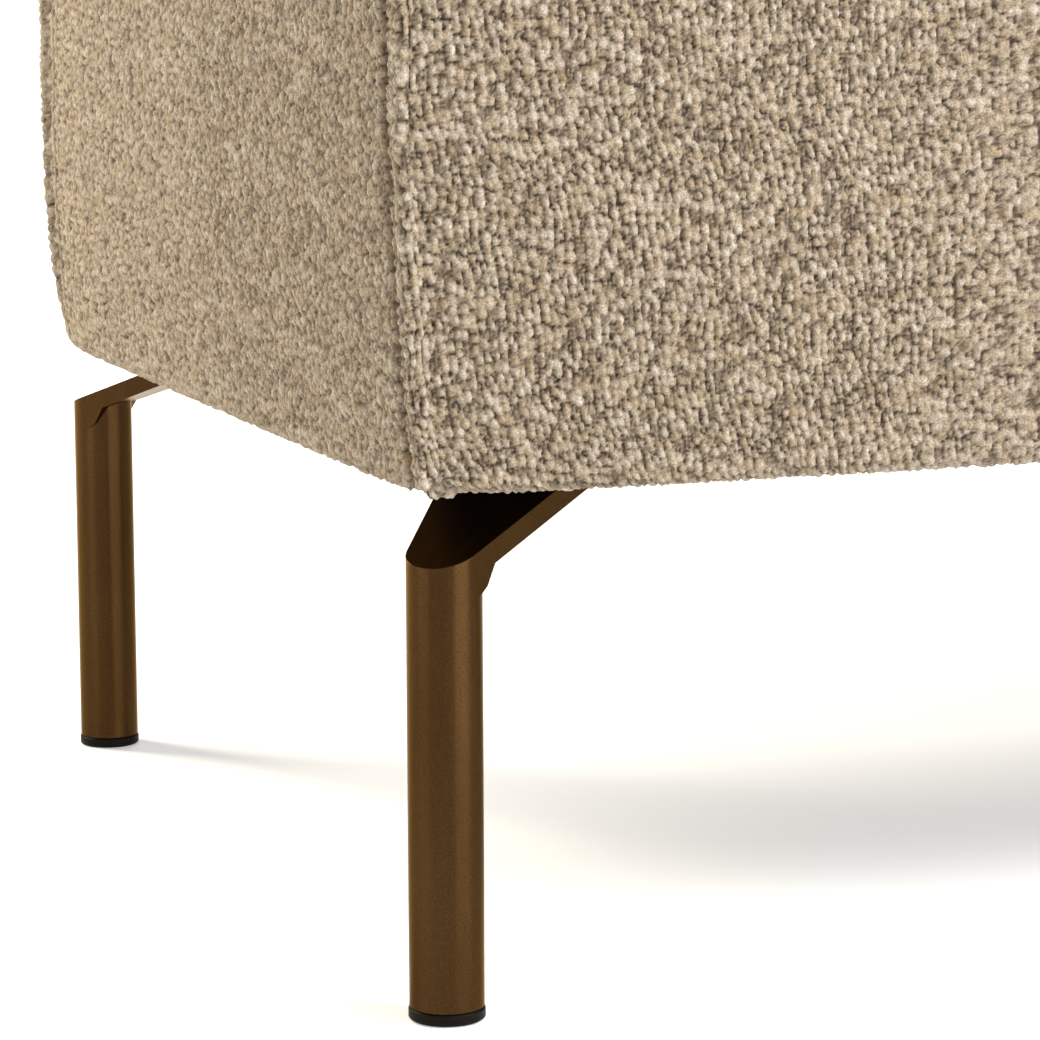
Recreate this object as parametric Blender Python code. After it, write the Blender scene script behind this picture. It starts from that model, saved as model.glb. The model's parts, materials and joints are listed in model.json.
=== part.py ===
"""Storage ottoman: an upholstered box on four metal legs, with a hinged lid on two gas struts.

Metres, +Z up. The origin is on the floor, under the middle of the ottoman. The front faces -Y.
"""
import math

import bmesh
import bpy
from mathutils import Matrix, Vector

# ---------------------------------------------------------------- driving dimensions
WIDTH = 0.800                  # along X, over the cover
DEPTH = 0.500                  # along Y, over the cover
HEIGHT = 0.450                 # floor to the top of the lid
BODY_BOTTOM = 0.1746           # underside of the upholstered box
RIM = 0.348                    # top of the box, where the lid's gap starts
LID_GAP = 0.004                # gap between box and lid
GAP = 0.0003                   # clearance between pieces that touch

COVER = 0.004                  # boucle cover
RETURN = 0.003                 # cover folded round an edge and stapled
RETURN_WIDTH = 0.030           # how far the cover runs in under the box and over the rim
TUCK_START = 0.270             # above this height the sides are upright
TUCK = 0.0056                  # how far the sides have come in near the bottom edge
EDGE_TUCK = 0.0116             # how far in the bottom edge itself is
PLY = 0.015                    # side walls and lid board
FLOOR_PLY = 0.009
LINING = 0.0015
DUST_COVER = 0.0008
WALL_IN = 0.0133               # from the cover's face to the plywood wall's face
WALL_BOTTOM = BODY_BOTTOM + RETURN + GAP
WALL_TOP = RIM - RETURN - GAP
LINING_IN = WALL_IN + PLY + GAP
INSIDE = LINING_IN + LINING    # from the cover's face to the lining's face
BLOCK_BOTTOM = BODY_BOTTOM + DUST_COVER + GAP
BLOCK_TOP = 0.200
BLOCK_LEG = 0.125              # length of a corner block along each wall
FLOOR_TOP = BLOCK_TOP + GAP + FLOOR_PLY

LEG_RADIUS = 0.0125
LEG_INSET = 0.020              # leg axis to the cover's upright faces, in X and in Y
LEG_SLOPE = 0.36               # rise of the slanted top towards the middle of the box
LEG_TOP = 0.1564               # height of the slanted top on the leg's axis
WING_FLARE = math.radians(11.6)
WING_DEPTH = 0.008             # the wing's thickness, measured upright
PAD_TOP = BODY_BOTTOM - GAP
PAD_THICKNESS = 0.004
PAD_END = 0.095                # from the leg's axis to the end of the screw pad
GLIDE_HEIGHT = 0.004
GLIDE_RADIUS = 0.0128

LID_BOTTOM = RIM + LID_GAP
LID_CORNER = 0.012             # radius of the lid's upright corners
LID_TOP_EDGE = 0.012           # radius of the lid's top edge
LOW_EDGE = 0.009               # radius of the edges on both sides of the gap

HINGE_X = 0.260                # hinges lie this far from the middle
HINGE_WIDTH = 0.050
PIN_Y = DEPTH / 2 - 0.0035
PIN_Z = RIM + LID_GAP / 2
PIN_RADIUS = 0.0015
KNUCKLE_BORE = 0.0018
KNUCKLE_RADIUS = 0.0030
LEAF = 0.0012                  # thickness of the leaves
LEAF_LIFT = 0.0005             # from the pin's axis to the near face of each leaf
LEAF_LENGTH = 0.0255

LID_OPEN = math.radians(80.0)
STRUT_X = 0.356
BOX_STUD_Y = 0.090
BOX_STUD_Z = 0.228
LID_STUD_AHEAD = 0.050         # lid stud, forward of the pin
LID_STUD_BELOW = 0.012         # lid stud, below the pin
CYLINDER_RADIUS = 0.0075
ROD_RADIUS = 0.003
SOCKET_RADIUS = 0.008
SOCKET_WIDTH = 0.012
STUD_RADIUS = 0.004
CYLINDER_START = 0.016         # from the box stud to the cylinder's end
CYLINDER_END = 0.118           # from the box stud to the cylinder's mouth

BUMPER_RADIUS = 0.005
BUMPER_X = 0.330

BOUCLE = ("boucle", (0.40, 0.33, 0.25), 0.95, 0.0)
BRONZE = ("bronze_paint", (0.10, 0.055, 0.025), 0.38, 0.6)
BLACK_PLASTIC = ("black_plastic", (0.015, 0.013, 0.012), 0.5, 0.0)
PLYWOOD = ("plywood", (0.55, 0.38, 0.22), 0.7, 0.0)
FOAM = ("foam", (0.75, 0.70, 0.55), 0.95, 0.0)
LINING_CLOTH = ("lining_cloth", (0.02, 0.02, 0.02), 0.9, 0.0)
ZINC_STEEL = ("zinc_steel", (0.55, 0.56, 0.58), 0.35, 1.0)
CHROME = ("chrome", (0.75, 0.75, 0.77), 0.12, 1.0)
BLACK_PAINT = ("black_paint", (0.02, 0.02, 0.02), 0.35, 0.3)
RUBBER = ("rubber", (0.03, 0.03, 0.03), 0.8, 0.0)


# ---------------------------------------------------------------- helpers
def clear_scene():
    for old in list(bpy.data.objects):
        bpy.data.objects.remove(old, do_unlink=True)


def material(finish):
    name, colour, roughness, metallic = finish
    found = bpy.data.materials.get(name)
    if found:
        return found
    made = bpy.data.materials.new(name)
    made.use_nodes = True
    shader = made.node_tree.nodes["Principled BSDF"]
    shader.inputs["Base Color"].default_value = (*colour, 1.0)
    shader.inputs["Roughness"].default_value = roughness
    shader.inputs["Metallic"].default_value = metallic
    made.diffuse_color = (*colour, 1.0)
    return made


def to_mesh(name, bm, finish, smooth_angle=None):
    bmesh.ops.recalc_face_normals(bm, faces=bm.faces)
    mesh = bpy.data.meshes.new(name)
    bm.to_mesh(mesh)
    bm.free()
    mesh.materials.append(material(finish))
    if smooth_angle:
        mesh.shade_smooth()
        mesh.set_sharp_from_angle(angle=math.radians(smooth_angle))
    return mesh


def place(name, mesh, location=(0, 0, 0), turn=0.0, parent=None):
    """Put a mesh in the scene, turned about Z by an angle in radians."""
    made = bpy.data.objects.new(name, mesh)
    bpy.context.collection.objects.link(made)
    made.parent = parent
    made.location = location
    made.rotation_euler = (0, 0, turn)
    return made


def joint_empty(name, location, parent=None, tilt=0.0):
    """An empty on a joint's axis, tilted about X by an angle in radians."""
    made = bpy.data.objects.new(name, None)
    bpy.context.collection.objects.link(made)
    made.parent = parent
    made.location = location
    made.rotation_euler = (tilt, 0, 0)
    return made


def box_bmesh(low, high):
    bm = bmesh.new()
    size = Vector(high) - Vector(low)
    centre = (Vector(high) + Vector(low)) / 2
    bmesh.ops.create_cube(bm, size=1.0, matrix=Matrix.Translation(centre) @ Matrix.Diagonal((*size, 1.0)))
    return bm


def add_cylinder(bm, start, end, radius, sides=24, end_radius=None):
    """A closed round bar between two points; a cone where end_radius differs."""
    start = Vector(start)
    end = Vector(end)
    along = end - start
    turn = along.to_track_quat("Z", "Y").to_matrix().to_4x4()
    bmesh.ops.create_cone(bm, cap_ends=True, segments=sides, radius1=radius,
                          radius2=radius if end_radius is None else end_radius, depth=along.length,
                          matrix=Matrix.Translation((start + end) / 2) @ turn)


def extrude_outline(points, offset):
    """Extrude one flat outline of 3-D points by an offset vector."""
    bm = bmesh.new()
    face = bm.faces.new([bm.verts.new(point) for point in points])
    grown = bmesh.ops.extrude_face_region(bm, geom=[face])
    moved = [item for item in grown["geom"] if isinstance(item, bmesh.types.BMVert)]
    bmesh.ops.translate(bm, verts=moved, vec=offset)
    return bm


def union_of(name, solids, finish, smooth_angle=None, cuts=()):
    """Join several overlapping closed solids into one mesh, less some cuts, with exact Booleans."""
    base = bpy.data.objects.new(name + "_base", to_mesh(name + "_base", solids[0], finish))
    bpy.context.collection.objects.link(base)
    helpers = []
    steps = [("UNION", solid) for solid in solids[1:]] + [("DIFFERENCE", solid) for solid in cuts]
    for index, (operation, solid) in enumerate(steps):
        helper = bpy.data.objects.new(f"{name}_helper_{index}", to_mesh(f"{name}_helper", solid, finish))
        bpy.context.collection.objects.link(helper)
        boolean = base.modifiers.new(f"step_{index}", "BOOLEAN")
        boolean.operation = operation
        boolean.solver = "EXACT"
        boolean.object = helper
        helpers.append(helper)
    bpy.context.view_layer.update()
    graph = bpy.context.evaluated_depsgraph_get()
    mesh = bpy.data.meshes.new_from_object(base.evaluated_get(graph))
    mesh.name = name
    for used in helpers + [base]:
        bpy.data.objects.remove(used, do_unlink=True)
    bm = bmesh.new()
    bm.from_mesh(mesh)
    bmesh.ops.remove_doubles(bm, verts=bm.verts, dist=0.000002)
    bmesh.ops.dissolve_degenerate(bm, dist=0.000002, edges=bm.edges)
    bm.to_mesh(mesh)
    bm.free()
    if smooth_angle:
        mesh.shade_smooth()
        mesh.set_sharp_from_angle(angle=math.radians(smooth_angle))
    return mesh


# the four walls: name, half length of the wall, distance of its face from the middle, turn about Z
WALLS = (
    ("front", WIDTH / 2, DEPTH / 2, 0.0),
    ("right", DEPTH / 2, WIDTH / 2, math.pi / 2),
    ("back", WIDTH / 2, DEPTH / 2, math.pi),
    ("left", DEPTH / 2, WIDTH / 2, -math.pi / 2),
)


def wall_piece(name, profile, wall, finish, mitred=True, end_gap=GAP):
    """Sweep a profile of (distance in from the face, height) along one wall.

    With mitred ends the piece meets its neighbours on the 45 degree lines of the corners. Otherwise
    it stops end_gap short of the given half length.
    """
    _, half_length, face_distance, turn = wall
    mitre = GAP * 0.75
    first = []
    for inward, height in profile:
        reach = half_length - inward - mitre if mitred else half_length - end_gap
        first.append((-reach, -(face_distance - inward), height))
    bm = bmesh.new()
    face = bm.faces.new([bm.verts.new(point) for point in first])
    grown = bmesh.ops.extrude_face_region(bm, geom=[face])
    for item in grown["geom"]:
        if isinstance(item, bmesh.types.BMVert):
            item.co.x = -item.co.x
    return place(name, to_mesh(name, bm, finish), turn=turn)


def arc(centre, radius, start, end, steps):
    """Points on an arc in a plane, angles in degrees."""
    points = []
    for index in range(steps + 1):
        angle = math.radians(start + (end - start) * index / steps)
        points.append((centre[0] + radius * math.cos(angle), centre[1] + radius * math.sin(angle)))
    return points


# ---------------------------------------------------------------- the box
def cover_profile():
    """The cover runs over the rim, down the face, in at the bottom edge and under the box."""
    rim_round = arc((LOW_EDGE, RIM - LOW_EDGE), LOW_EDGE, 90, 180, 4)
    inner = LOW_EDGE - COVER
    rim_inner = arc((LOW_EDGE, RIM - LOW_EDGE), inner, 180, 90, 3)
    outer_side = [(0.0, TUCK_START), (TUCK, BODY_BOTTOM + 0.0075), (TUCK + 0.002, BODY_BOTTOM + 0.0025),
                  (EDGE_TUCK, BODY_BOTTOM)]
    under = [(RETURN_WIDTH, BODY_BOTTOM), (RETURN_WIDTH, BODY_BOTTOM + RETURN)]
    inner_side = [(EDGE_TUCK + 0.001, BODY_BOTTOM + RETURN), (TUCK + COVER, BODY_BOTTOM + 0.008),
                  (COVER, TUCK_START)]
    top = [(RETURN_WIDTH, RIM - RETURN), (RETURN_WIDTH, RIM)]
    over = [(LOW_EDGE, RIM - RETURN)]
    return rim_round + outer_side + under + inner_side + rim_inner[:-1] + over + top


def foam_profile():
    outer = COVER + GAP
    inner = WALL_IN - GAP
    foam_top = RIM - LOW_EDGE
    foam_bottom = BODY_BOTTOM + 0.0095
    return [(inner, foam_bottom), (inner, foam_top), (outer, foam_top), (outer, TUCK_START),
            (outer + TUCK, foam_bottom)]


def rectangle(inner, outer, low, high):
    return [(inner, low), (inner, high), (outer, high), (outer, low)]


def make_walls():
    for wall in WALLS:
        side, half_length, face_distance, _ = wall
        wall_piece(f"cover_{side}", cover_profile(), wall, BOUCLE)
        wall_piece(f"foam_{side}", foam_profile(), wall, FOAM)
        wall_piece(f"lining_{side}", rectangle(LINING_IN, INSIDE, FLOOR_TOP + GAP, WALL_TOP), wall, LINING_CLOTH)
        panel = rectangle(WALL_IN, WALL_IN + PLY, WALL_BOTTOM, WALL_TOP)
        shortened = WALL_IN if side in ("front", "back") else WALL_IN + PLY + GAP
        wall_piece(f"panel_{side}", panel, wall, PLYWOOD, mitred=False, end_gap=shortened)


def make_bottom():
    inner_x = WIDTH / 2 - LINING_IN
    inner_y = DEPTH / 2 - LINING_IN
    floor = box_bmesh((-inner_x, -inner_y, BLOCK_TOP + GAP), (inner_x, inner_y, FLOOR_TOP))
    place("floor_panel", to_mesh("floor_panel", floor, PLYWOOD))

    cloth_x = WIDTH / 2 - INSIDE - GAP
    cloth_y = DEPTH / 2 - INSIDE - GAP
    cloth = box_bmesh((-cloth_x, -cloth_y, FLOOR_TOP + GAP), (cloth_x, cloth_y, FLOOR_TOP + GAP + LINING))
    place("lining_floor", to_mesh("lining_floor", cloth, LINING_CLOTH))

    dust_x = WIDTH / 2 - RETURN_WIDTH - GAP
    dust_y = DEPTH / 2 - RETURN_WIDTH - GAP
    dust = box_bmesh((-dust_x, -dust_y, BODY_BOTTOM), (dust_x, dust_y, BODY_BOTTOM + DUST_COVER))
    place("dust_cover", to_mesh("dust_cover", dust, LINING_CLOTH))


CORNERS = (
    ("front_left", -1, -1),
    ("front_right", 1, -1),
    ("back_right", 1, 1),
    ("back_left", -1, 1),
)


def make_corner_blocks():
    corner_in = RETURN_WIDTH + GAP
    for name, side_x, side_y in CORNERS:
        x = side_x * (WIDTH / 2 - corner_in)
        y = side_y * (DEPTH / 2 - corner_in)
        outline = [(x, y, BLOCK_BOTTOM), (x - side_x * BLOCK_LEG, y, BLOCK_BOTTOM),
                   (x, y - side_y * BLOCK_LEG, BLOCK_BOTTOM)]
        bm = extrude_outline(outline, (0, 0, BLOCK_TOP - BLOCK_BOTTOM))
        place(f"corner_block_{name}", to_mesh(f"corner_block_{name}", bm, PLYWOOD))


# ---------------------------------------------------------------- legs
def slanted_top(along):
    """Height of the leg's slanted top at a distance from the leg's axis towards the box's middle."""
    return LEG_TOP + LEG_SLOPE * along


def wing_half_width(along):
    """The wing's sides leave the round column as tangents and spread towards the box's middle."""
    touch = LEG_RADIUS / math.cos(WING_FLARE) + along * math.tan(WING_FLARE)
    return touch - 0.00003


def leg_mesh():
    """One leg, with its axis on Z and its wing running along +X."""
    pad_start = (PAD_TOP - LEG_TOP) / LEG_SLOPE
    wing_end = (PAD_TOP - PAD_THICKNESS - LEG_TOP + WING_DEPTH) / LEG_SLOPE
    tangent = -LEG_RADIUS * math.sin(WING_FLARE)
    gusset_top = 0.0085
    side = [(tangent, slanted_top(tangent) + 0.002), (pad_start, PAD_TOP + 0.002), (pad_start, PAD_TOP),
            (PAD_END, PAD_TOP),
            (PAD_END, PAD_TOP - PAD_THICKNESS), (wing_end, PAD_TOP - PAD_THICKNESS),
            (gusset_top, slanted_top(gusset_top) - WING_DEPTH), (0.0044, 0.1445), (0.0014, 0.1423),
            (tangent, 0.1408)]
    bm = bmesh.new()
    left = [bm.verts.new((along, -wing_half_width(along), height)) for along, height in side]
    face = bm.faces.new(left)
    grown = bmesh.ops.extrude_face_region(bm, geom=[face])
    for item in grown["geom"]:
        if isinstance(item, bmesh.types.BMVert):
            item.co.y = -item.co.y
    column = bmesh.new()
    add_cylinder(column, (0, 0, GLIDE_HEIGHT + GAP), (0, 0, PAD_TOP - 0.004), LEG_RADIUS, sides=48)
    reach = 0.2
    above = [(-0.05, -0.06, slanted_top(-0.05)), (reach, -0.06, slanted_top(reach)),
             (reach, -0.06, slanted_top(reach) + 0.1), (-0.05, -0.06, slanted_top(reach) + 0.1)]
    slant_cut = extrude_outline(above, (0, 0.12, 0))
    return union_of("leg", [column, bm], BRONZE, smooth_angle=30, cuts=[slant_cut])


def glide_mesh():
    """A round plastic glide with a softened lower edge."""
    bm = bmesh.new()
    add_cylinder(bm, (0, 0, 0), (0, 0, GLIDE_HEIGHT), GLIDE_RADIUS, sides=48)
    low_edges = [edge for edge in bm.edges if all(vert.co.z < 0.0001 for vert in edge.verts)]
    bmesh.ops.bevel(bm, geom=low_edges, offset=0.0008, segments=2, profile=0.5, affect="EDGES", material=-1)
    return to_mesh("foot_glide", bm, BLACK_PLASTIC, smooth_angle=40)


def make_legs():
    leg = leg_mesh()
    glide = glide_mesh()
    for name, side_x, side_y in CORNERS:
        x = side_x * (WIDTH / 2 - LEG_INSET)
        y = side_y * (DEPTH / 2 - LEG_INSET)
        inward = math.atan2(-side_y, -side_x)
        place(f"leg_{name}", leg, (x, y, 0), inward)
        place(f"foot_glide_{name}", glide, (x, y, 0), inward)


# ---------------------------------------------------------------- the lid
def rounded_loop(bm, inward, height, radius, steps=4):
    """A loop of vertices on a rounded rectangle, a distance in from the lid's faces."""
    loop = []
    half_x = WIDTH / 2 - inward - radius
    half_y = DEPTH / 2 - inward - radius
    for index, (side_x, side_y) in enumerate(((1, 1), (-1, 1), (-1, -1), (1, -1))):
        for step in range(steps + 1):
            angle = math.pi / 2 * (index + step / steps)
            x = side_x * half_x + radius * math.cos(angle)
            y = side_y * half_y + radius * math.sin(angle)
            loop.append(bm.verts.new((x, y, height)))
    return loop


def skin(bm, loops):
    for below, above in zip(loops, loops[1:]):
        count = len(below)
        for index in range(count):
            after = (index + 1) % count
            bm.faces.new((below[index], below[after], above[after], above[index]))


def lid_cover_mesh():
    """A box cushion cover: top, sides, and a fold under the board that leaves the middle open."""
    outer = [(RETURN_WIDTH, LID_BOTTOM)]
    outer += [(LOW_EDGE - x, z) for x, z in arc((0.0, LID_BOTTOM + LOW_EDGE), LOW_EDGE, -90, 0, 3)]
    outer += [(LID_TOP_EDGE - x, z) for x, z in arc((0.0, HEIGHT - LID_TOP_EDGE), LID_TOP_EDGE, 0, 90, 4)]
    low = LOW_EDGE - COVER
    high = LID_TOP_EDGE - COVER
    inner = [(LID_TOP_EDGE - x, z) for x, z in arc((0.0, HEIGHT - LID_TOP_EDGE), high, 90, 0, 3)]
    inner += [(LOW_EDGE - x, z) for x, z in arc((0.0, LID_BOTTOM + LOW_EDGE), low, 0, -60, 2)]
    inner += [(LOW_EDGE, LID_BOTTOM + RETURN), (RETURN_WIDTH, LID_BOTTOM + RETURN)]
    bm = bmesh.new()
    loops = []
    for inward, height in outer + inner:
        loops.append(rounded_loop(bm, inward, height, max(LID_CORNER - inward, 0.002)))
    skin(bm, loops)
    outer_last = loops[len(outer) - 1]
    inner_first = loops[len(outer)]
    for index in range(len(outer_last)):
        after = (index + 1) % len(outer_last)
        joint = bm.faces.get((outer_last[index], outer_last[after], inner_first[after], inner_first[index]))
        bm.faces.remove(joint)
    bm.faces.new(outer_last)
    bm.faces.new(inner_first)
    first = loops[0]
    last = loops[-1]
    for index in range(len(first)):
        after = (index + 1) % len(first)
        bm.faces.new((last[index], last[after], first[after], first[index]))
    return to_mesh("lid_cover", bm, BOUCLE, smooth_angle=40)


def make_lid(lid):
    drop = Vector(lid.location)

    def on_lid(name, mesh):
        return place(name, mesh, -drop, parent=lid)

    on_lid("lid_cover", lid_cover_mesh())
    board_low = LID_BOTTOM + RETURN + GAP
    board_high = board_low + PLY
    board = bmesh.new()
    board_in = LOW_EDGE + 0.001
    skin(board, [rounded_loop(board, board_in, height, LID_CORNER / 2) for height in (board_low, board_high)])
    bmesh.ops.holes_fill(board, edges=board.edges)
    on_lid("lid_board", to_mesh("lid_board", board, PLYWOOD))

    foam = bmesh.new()
    side = COVER + GAP
    foam_low = board_high + GAP
    foam_high = HEIGHT - COVER - GAP
    edge = LID_TOP_EDGE - COVER
    loops = [rounded_loop(foam, side, foam_low, edge)]
    for x, z in arc((0.0, foam_high - edge), edge, 0, 90, 3):
        loops.append(rounded_loop(foam, side + edge - x, z, max(edge - (edge - x), 0.002)))
    skin(foam, loops)
    foam.faces.new(loops[0])
    foam.faces.new(loops[-1])
    on_lid("lid_foam", to_mesh("lid_foam", foam, FOAM, smooth_angle=40))

    cloth_in = RETURN_WIDTH + 0.0012
    cloth_x = WIDTH / 2 - cloth_in
    cloth_y = DEPTH / 2 - cloth_in
    cloth = box_bmesh((-cloth_x, -cloth_y, LID_BOTTOM + 0.0008), (cloth_x, cloth_y, board_low - GAP))
    on_lid("lid_lining", to_mesh("lid_lining", cloth, LINING_CLOTH))


# ---------------------------------------------------------------- hinges and bumpers
def leaf_mesh(name, side, knuckles):
    """A hinge leaf about the pin's axis on X: side is -1 on the box and +1 on the lid.

    The leaf is a flat plate, with short tabs into its own knuckles only.
    """
    low, high = sorted((side * LEAF_LIFT, side * (LEAF_LIFT + LEAF)))
    plate_back = -(KNUCKLE_RADIUS + 0.0006)
    solids = [box_bmesh((-HINGE_WIDTH / 2, -LEAF_LENGTH, low), (HINGE_WIDTH / 2, plate_back, high))]
    bores = []
    for start, end in knuckles:
        solids.append(box_bmesh((start, plate_back - 0.001, low), (end, -0.0021, high)))
        knuckle = bmesh.new()
        add_cylinder(knuckle, (start, 0, 0), (end, 0, 0), KNUCKLE_RADIUS)
        solids.append(knuckle)
        bore = bmesh.new()
        add_cylinder(bore, (start - 0.001, 0, 0), (end + 0.001, 0, 0), KNUCKLE_BORE)
        bores.append(bore)
    return union_of(name, solids, ZINC_STEEL, smooth_angle=40, cuts=bores)


def pin_mesh():
    bm = bmesh.new()
    half = HINGE_WIDTH / 2 + 0.0005
    add_cylinder(bm, (-half, 0, 0), (half, 0, 0), PIN_RADIUS, sides=16)
    return to_mesh("hinge_pin", bm, ZINC_STEEL, smooth_angle=40)


def make_hinges(lid):
    half = HINGE_WIDTH / 2
    third = HINGE_WIDTH / 6
    outer_knuckles = ((-half, -third - GAP), (third + GAP, half))
    middle_knuckle = ((-third, third),)
    box_leaf = leaf_mesh("hinge_box_leaf", -1, outer_knuckles)
    lid_leaf = leaf_mesh("hinge_lid_leaf", 1, middle_knuckle)
    pin = pin_mesh()
    for name, x in (("left", -HINGE_X), ("right", HINGE_X)):
        place(f"hinge_box_leaf_{name}", box_leaf, (x, PIN_Y, PIN_Z))
        place(f"hinge_pin_{name}", pin, (x, PIN_Y, PIN_Z))
        place(f"hinge_lid_leaf_{name}", lid_leaf, (x, 0, 0), parent=lid)


def make_bumpers():
    bm = bmesh.new()
    add_cylinder(bm, (0, 0, RIM + GAP), (0, 0, LID_BOTTOM - GAP), BUMPER_RADIUS, end_radius=BUMPER_RADIUS * 0.8)
    mesh = to_mesh("bumper", bm, RUBBER, smooth_angle=40)
    for name, side in (("left", -1), ("right", 1)):
        place(f"bumper_{name}", mesh, (side * BUMPER_X, -DEPTH / 2 + 0.019, 0))


# ---------------------------------------------------------------- gas struts
def strut_length_and_tilt(opening):
    """Distance and slope angle from the box stud to the lid stud, with the lid open by an angle."""
    ahead = LID_STUD_AHEAD
    below = LID_STUD_BELOW
    y = PIN_Y - ahead * math.cos(opening) - below * math.sin(opening)
    z = PIN_Z + ahead * math.sin(opening) - below * math.cos(opening)
    return math.hypot(y - BOX_STUD_Y, z - BOX_STUD_Z), math.atan2(z - BOX_STUD_Z, y - BOX_STUD_Y)


def box_bracket_mesh(side):
    """A screw plate on the side lining with the stud that the strut turns on."""
    wall = WIDTH / 2 - INSIDE - GAP
    plate = 0.002
    inner = STRUT_X - SOCKET_WIDTH / 2 - 0.001
    low_x, high_x = sorted((side * wall, side * (wall - plate)))
    solids = [box_bmesh((low_x, -0.014, -0.009), (high_x, 0.014, 0.024))]
    stud = bmesh.new()
    add_cylinder(stud, (side * (wall - plate / 2), 0, 0), (side * inner, 0, 0), STUD_RADIUS)
    solids.append(stud)
    return union_of("strut_box_bracket", solids, ZINC_STEEL, smooth_angle=40)


def lid_bracket_mesh(side):
    """An angle plate under the lid whose flange holds the upper stud beside the strut's socket."""
    plate = 0.002
    plate_top = LID_BOTTOM + 0.0008 - GAP - PIN_Z
    flange_in = STRUT_X + SOCKET_WIDTH / 2 + 0.0025
    stud_tip = STRUT_X + SOCKET_WIDTH / 2 + 0.0005
    stud_y = -LID_STUD_AHEAD
    stud_z = -LID_STUD_BELOW
    low_x, high_x = sorted((side * (STRUT_X - 0.010), side * (flange_in + plate)))
    top = box_bmesh((low_x, stud_y - 0.018, plate_top - 0.0015), (high_x, stud_y + 0.018, plate_top))
    low_f, high_f = sorted((side * flange_in, side * (flange_in + plate)))
    outline = [(low_f, stud_y - 0.016, plate_top - 0.001), (low_f, stud_y + 0.016, plate_top - 0.001)]
    lower = arc((stud_y, stud_z), 0.008, 0, -180, 8)
    outline += [(low_f, y, z) for y, z in lower]
    flange = extrude_outline(outline, (high_f - low_f, 0, 0))
    stud = bmesh.new()
    add_cylinder(stud, (side * (flange_in + plate / 2), stud_y, stud_z), (side * stud_tip, stud_y, stud_z),
                 STUD_RADIUS)
    return union_of("strut_lid_bracket", [top, flange, stud], ZINC_STEEL, smooth_angle=40)


def lower_socket_mesh():
    """An eye on the box stud and the neck of the cylinder, along +Y from the stud."""
    eye = bmesh.new()
    add_cylinder(eye, (-SOCKET_WIDTH / 2, 0, 0), (SOCKET_WIDTH / 2, 0, 0), SOCKET_RADIUS)
    neck = bmesh.new()
    add_cylinder(neck, (0, SOCKET_RADIUS * 0.6, 0), (0, CYLINDER_START - GAP, 0), 0.005, sides=20)
    hole = bmesh.new()
    add_cylinder(hole, (-SOCKET_WIDTH, 0, 0), (SOCKET_WIDTH, 0, 0), STUD_RADIUS + GAP)
    return union_of("strut_lower_socket", [eye, neck], BLACK_PLASTIC, smooth_angle=40, cuts=[hole])


def cylinder_mesh():
    """The pressure tube: a cup with the rod's bore running in from its mouth."""
    tube = bmesh.new()
    add_cylinder(tube, (0, CYLINDER_START, 0), (0, CYLINDER_END, 0), CYLINDER_RADIUS, sides=28)
    ends = [edge for edge in tube.edges if abs(edge.verts[0].co.y - edge.verts[1].co.y) < 0.00001
            and len(edge.link_faces) == 2 and any(len(face.verts) > 4 for face in edge.link_faces)]
    bmesh.ops.bevel(tube, geom=ends, offset=0.0012, segments=2, profile=0.5, affect="EDGES", material=-1)
    bore = bmesh.new()
    add_cylinder(bore, (0, CYLINDER_START + 0.004, 0), (0, CYLINDER_END + 0.01, 0), ROD_RADIUS + GAP, sides=24)
    return union_of("strut_cylinder", [tube], BLACK_PAINT, smooth_angle=40, cuts=[bore])


def rod_mesh(length):
    bm = bmesh.new()
    add_cylinder(bm, (0, length - 0.120, 0), (0, length - 0.012 - GAP, 0), ROD_RADIUS, sides=24)
    return to_mesh("strut_rod", bm, CHROME, smooth_angle=40)


def upper_socket_mesh(length):
    """A closed cup beside the lid stud, and its neck down to the rod."""
    cup = bmesh.new()
    add_cylinder(cup, (-SOCKET_WIDTH / 2, length, 0), (SOCKET_WIDTH / 2, length, 0), SOCKET_RADIUS)
    neck = bmesh.new()
    add_cylinder(neck, (0, length - 0.012, 0), (0, length - SOCKET_RADIUS * 0.6, 0), 0.005, sides=20)
    return union_of("strut_upper_socket", [cup, neck], BLACK_PLASTIC, smooth_angle=40)


def make_struts(lid):
    length, tilt = strut_length_and_tilt(0.0)
    lower_socket = lower_socket_mesh()
    cylinder = cylinder_mesh()
    rod = rod_mesh(length)
    upper_socket = upper_socket_mesh(length)
    for name, side in (("left", -1), ("right", 1)):
        place(f"strut_box_bracket_{name}", box_bracket_mesh(side), (0, BOX_STUD_Y, BOX_STUD_Z))
        place(f"strut_lid_bracket_{name}", lid_bracket_mesh(side), parent=lid)
        pivot = joint_empty(f"strut_{name}_pivot", (side * STRUT_X, BOX_STUD_Y, BOX_STUD_Z), tilt=tilt)
        slide = joint_empty(f"strut_{name}_slide", (0, 0, 0), parent=pivot)
        place(f"strut_lower_socket_{name}", lower_socket, parent=pivot)
        place(f"strut_cylinder_{name}", cylinder, parent=pivot)
        place(f"strut_rod_{name}", rod, parent=slide)
        place(f"strut_upper_socket_{name}", upper_socket, parent=slide)


def describe_motion():
    closed, closed_tilt = strut_length_and_tilt(0.0)
    opened, opened_tilt = strut_length_and_tilt(LID_OPEN)
    print("pin", 0, PIN_Y, PIN_Z, "strut stud", STRUT_X, BOX_STUD_Y, BOX_STUD_Z)
    print("strut closed", closed, "open", opened, "stroke", opened - closed)
    print("tilt closed", closed_tilt, "turn", opened_tilt - closed_tilt)
    print("ratios", (opened_tilt - closed_tilt) / LID_OPEN, (opened - closed) / LID_OPEN)


def main():
    clear_scene()
    make_walls()
    make_bottom()
    make_corner_blocks()
    make_legs()
    lid = joint_empty("lid_pin_axis", (0, PIN_Y, PIN_Z))
    make_lid(lid)
    make_hinges(lid)
    make_bumpers()
    make_struts(lid)
    describe_motion()


main()
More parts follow.
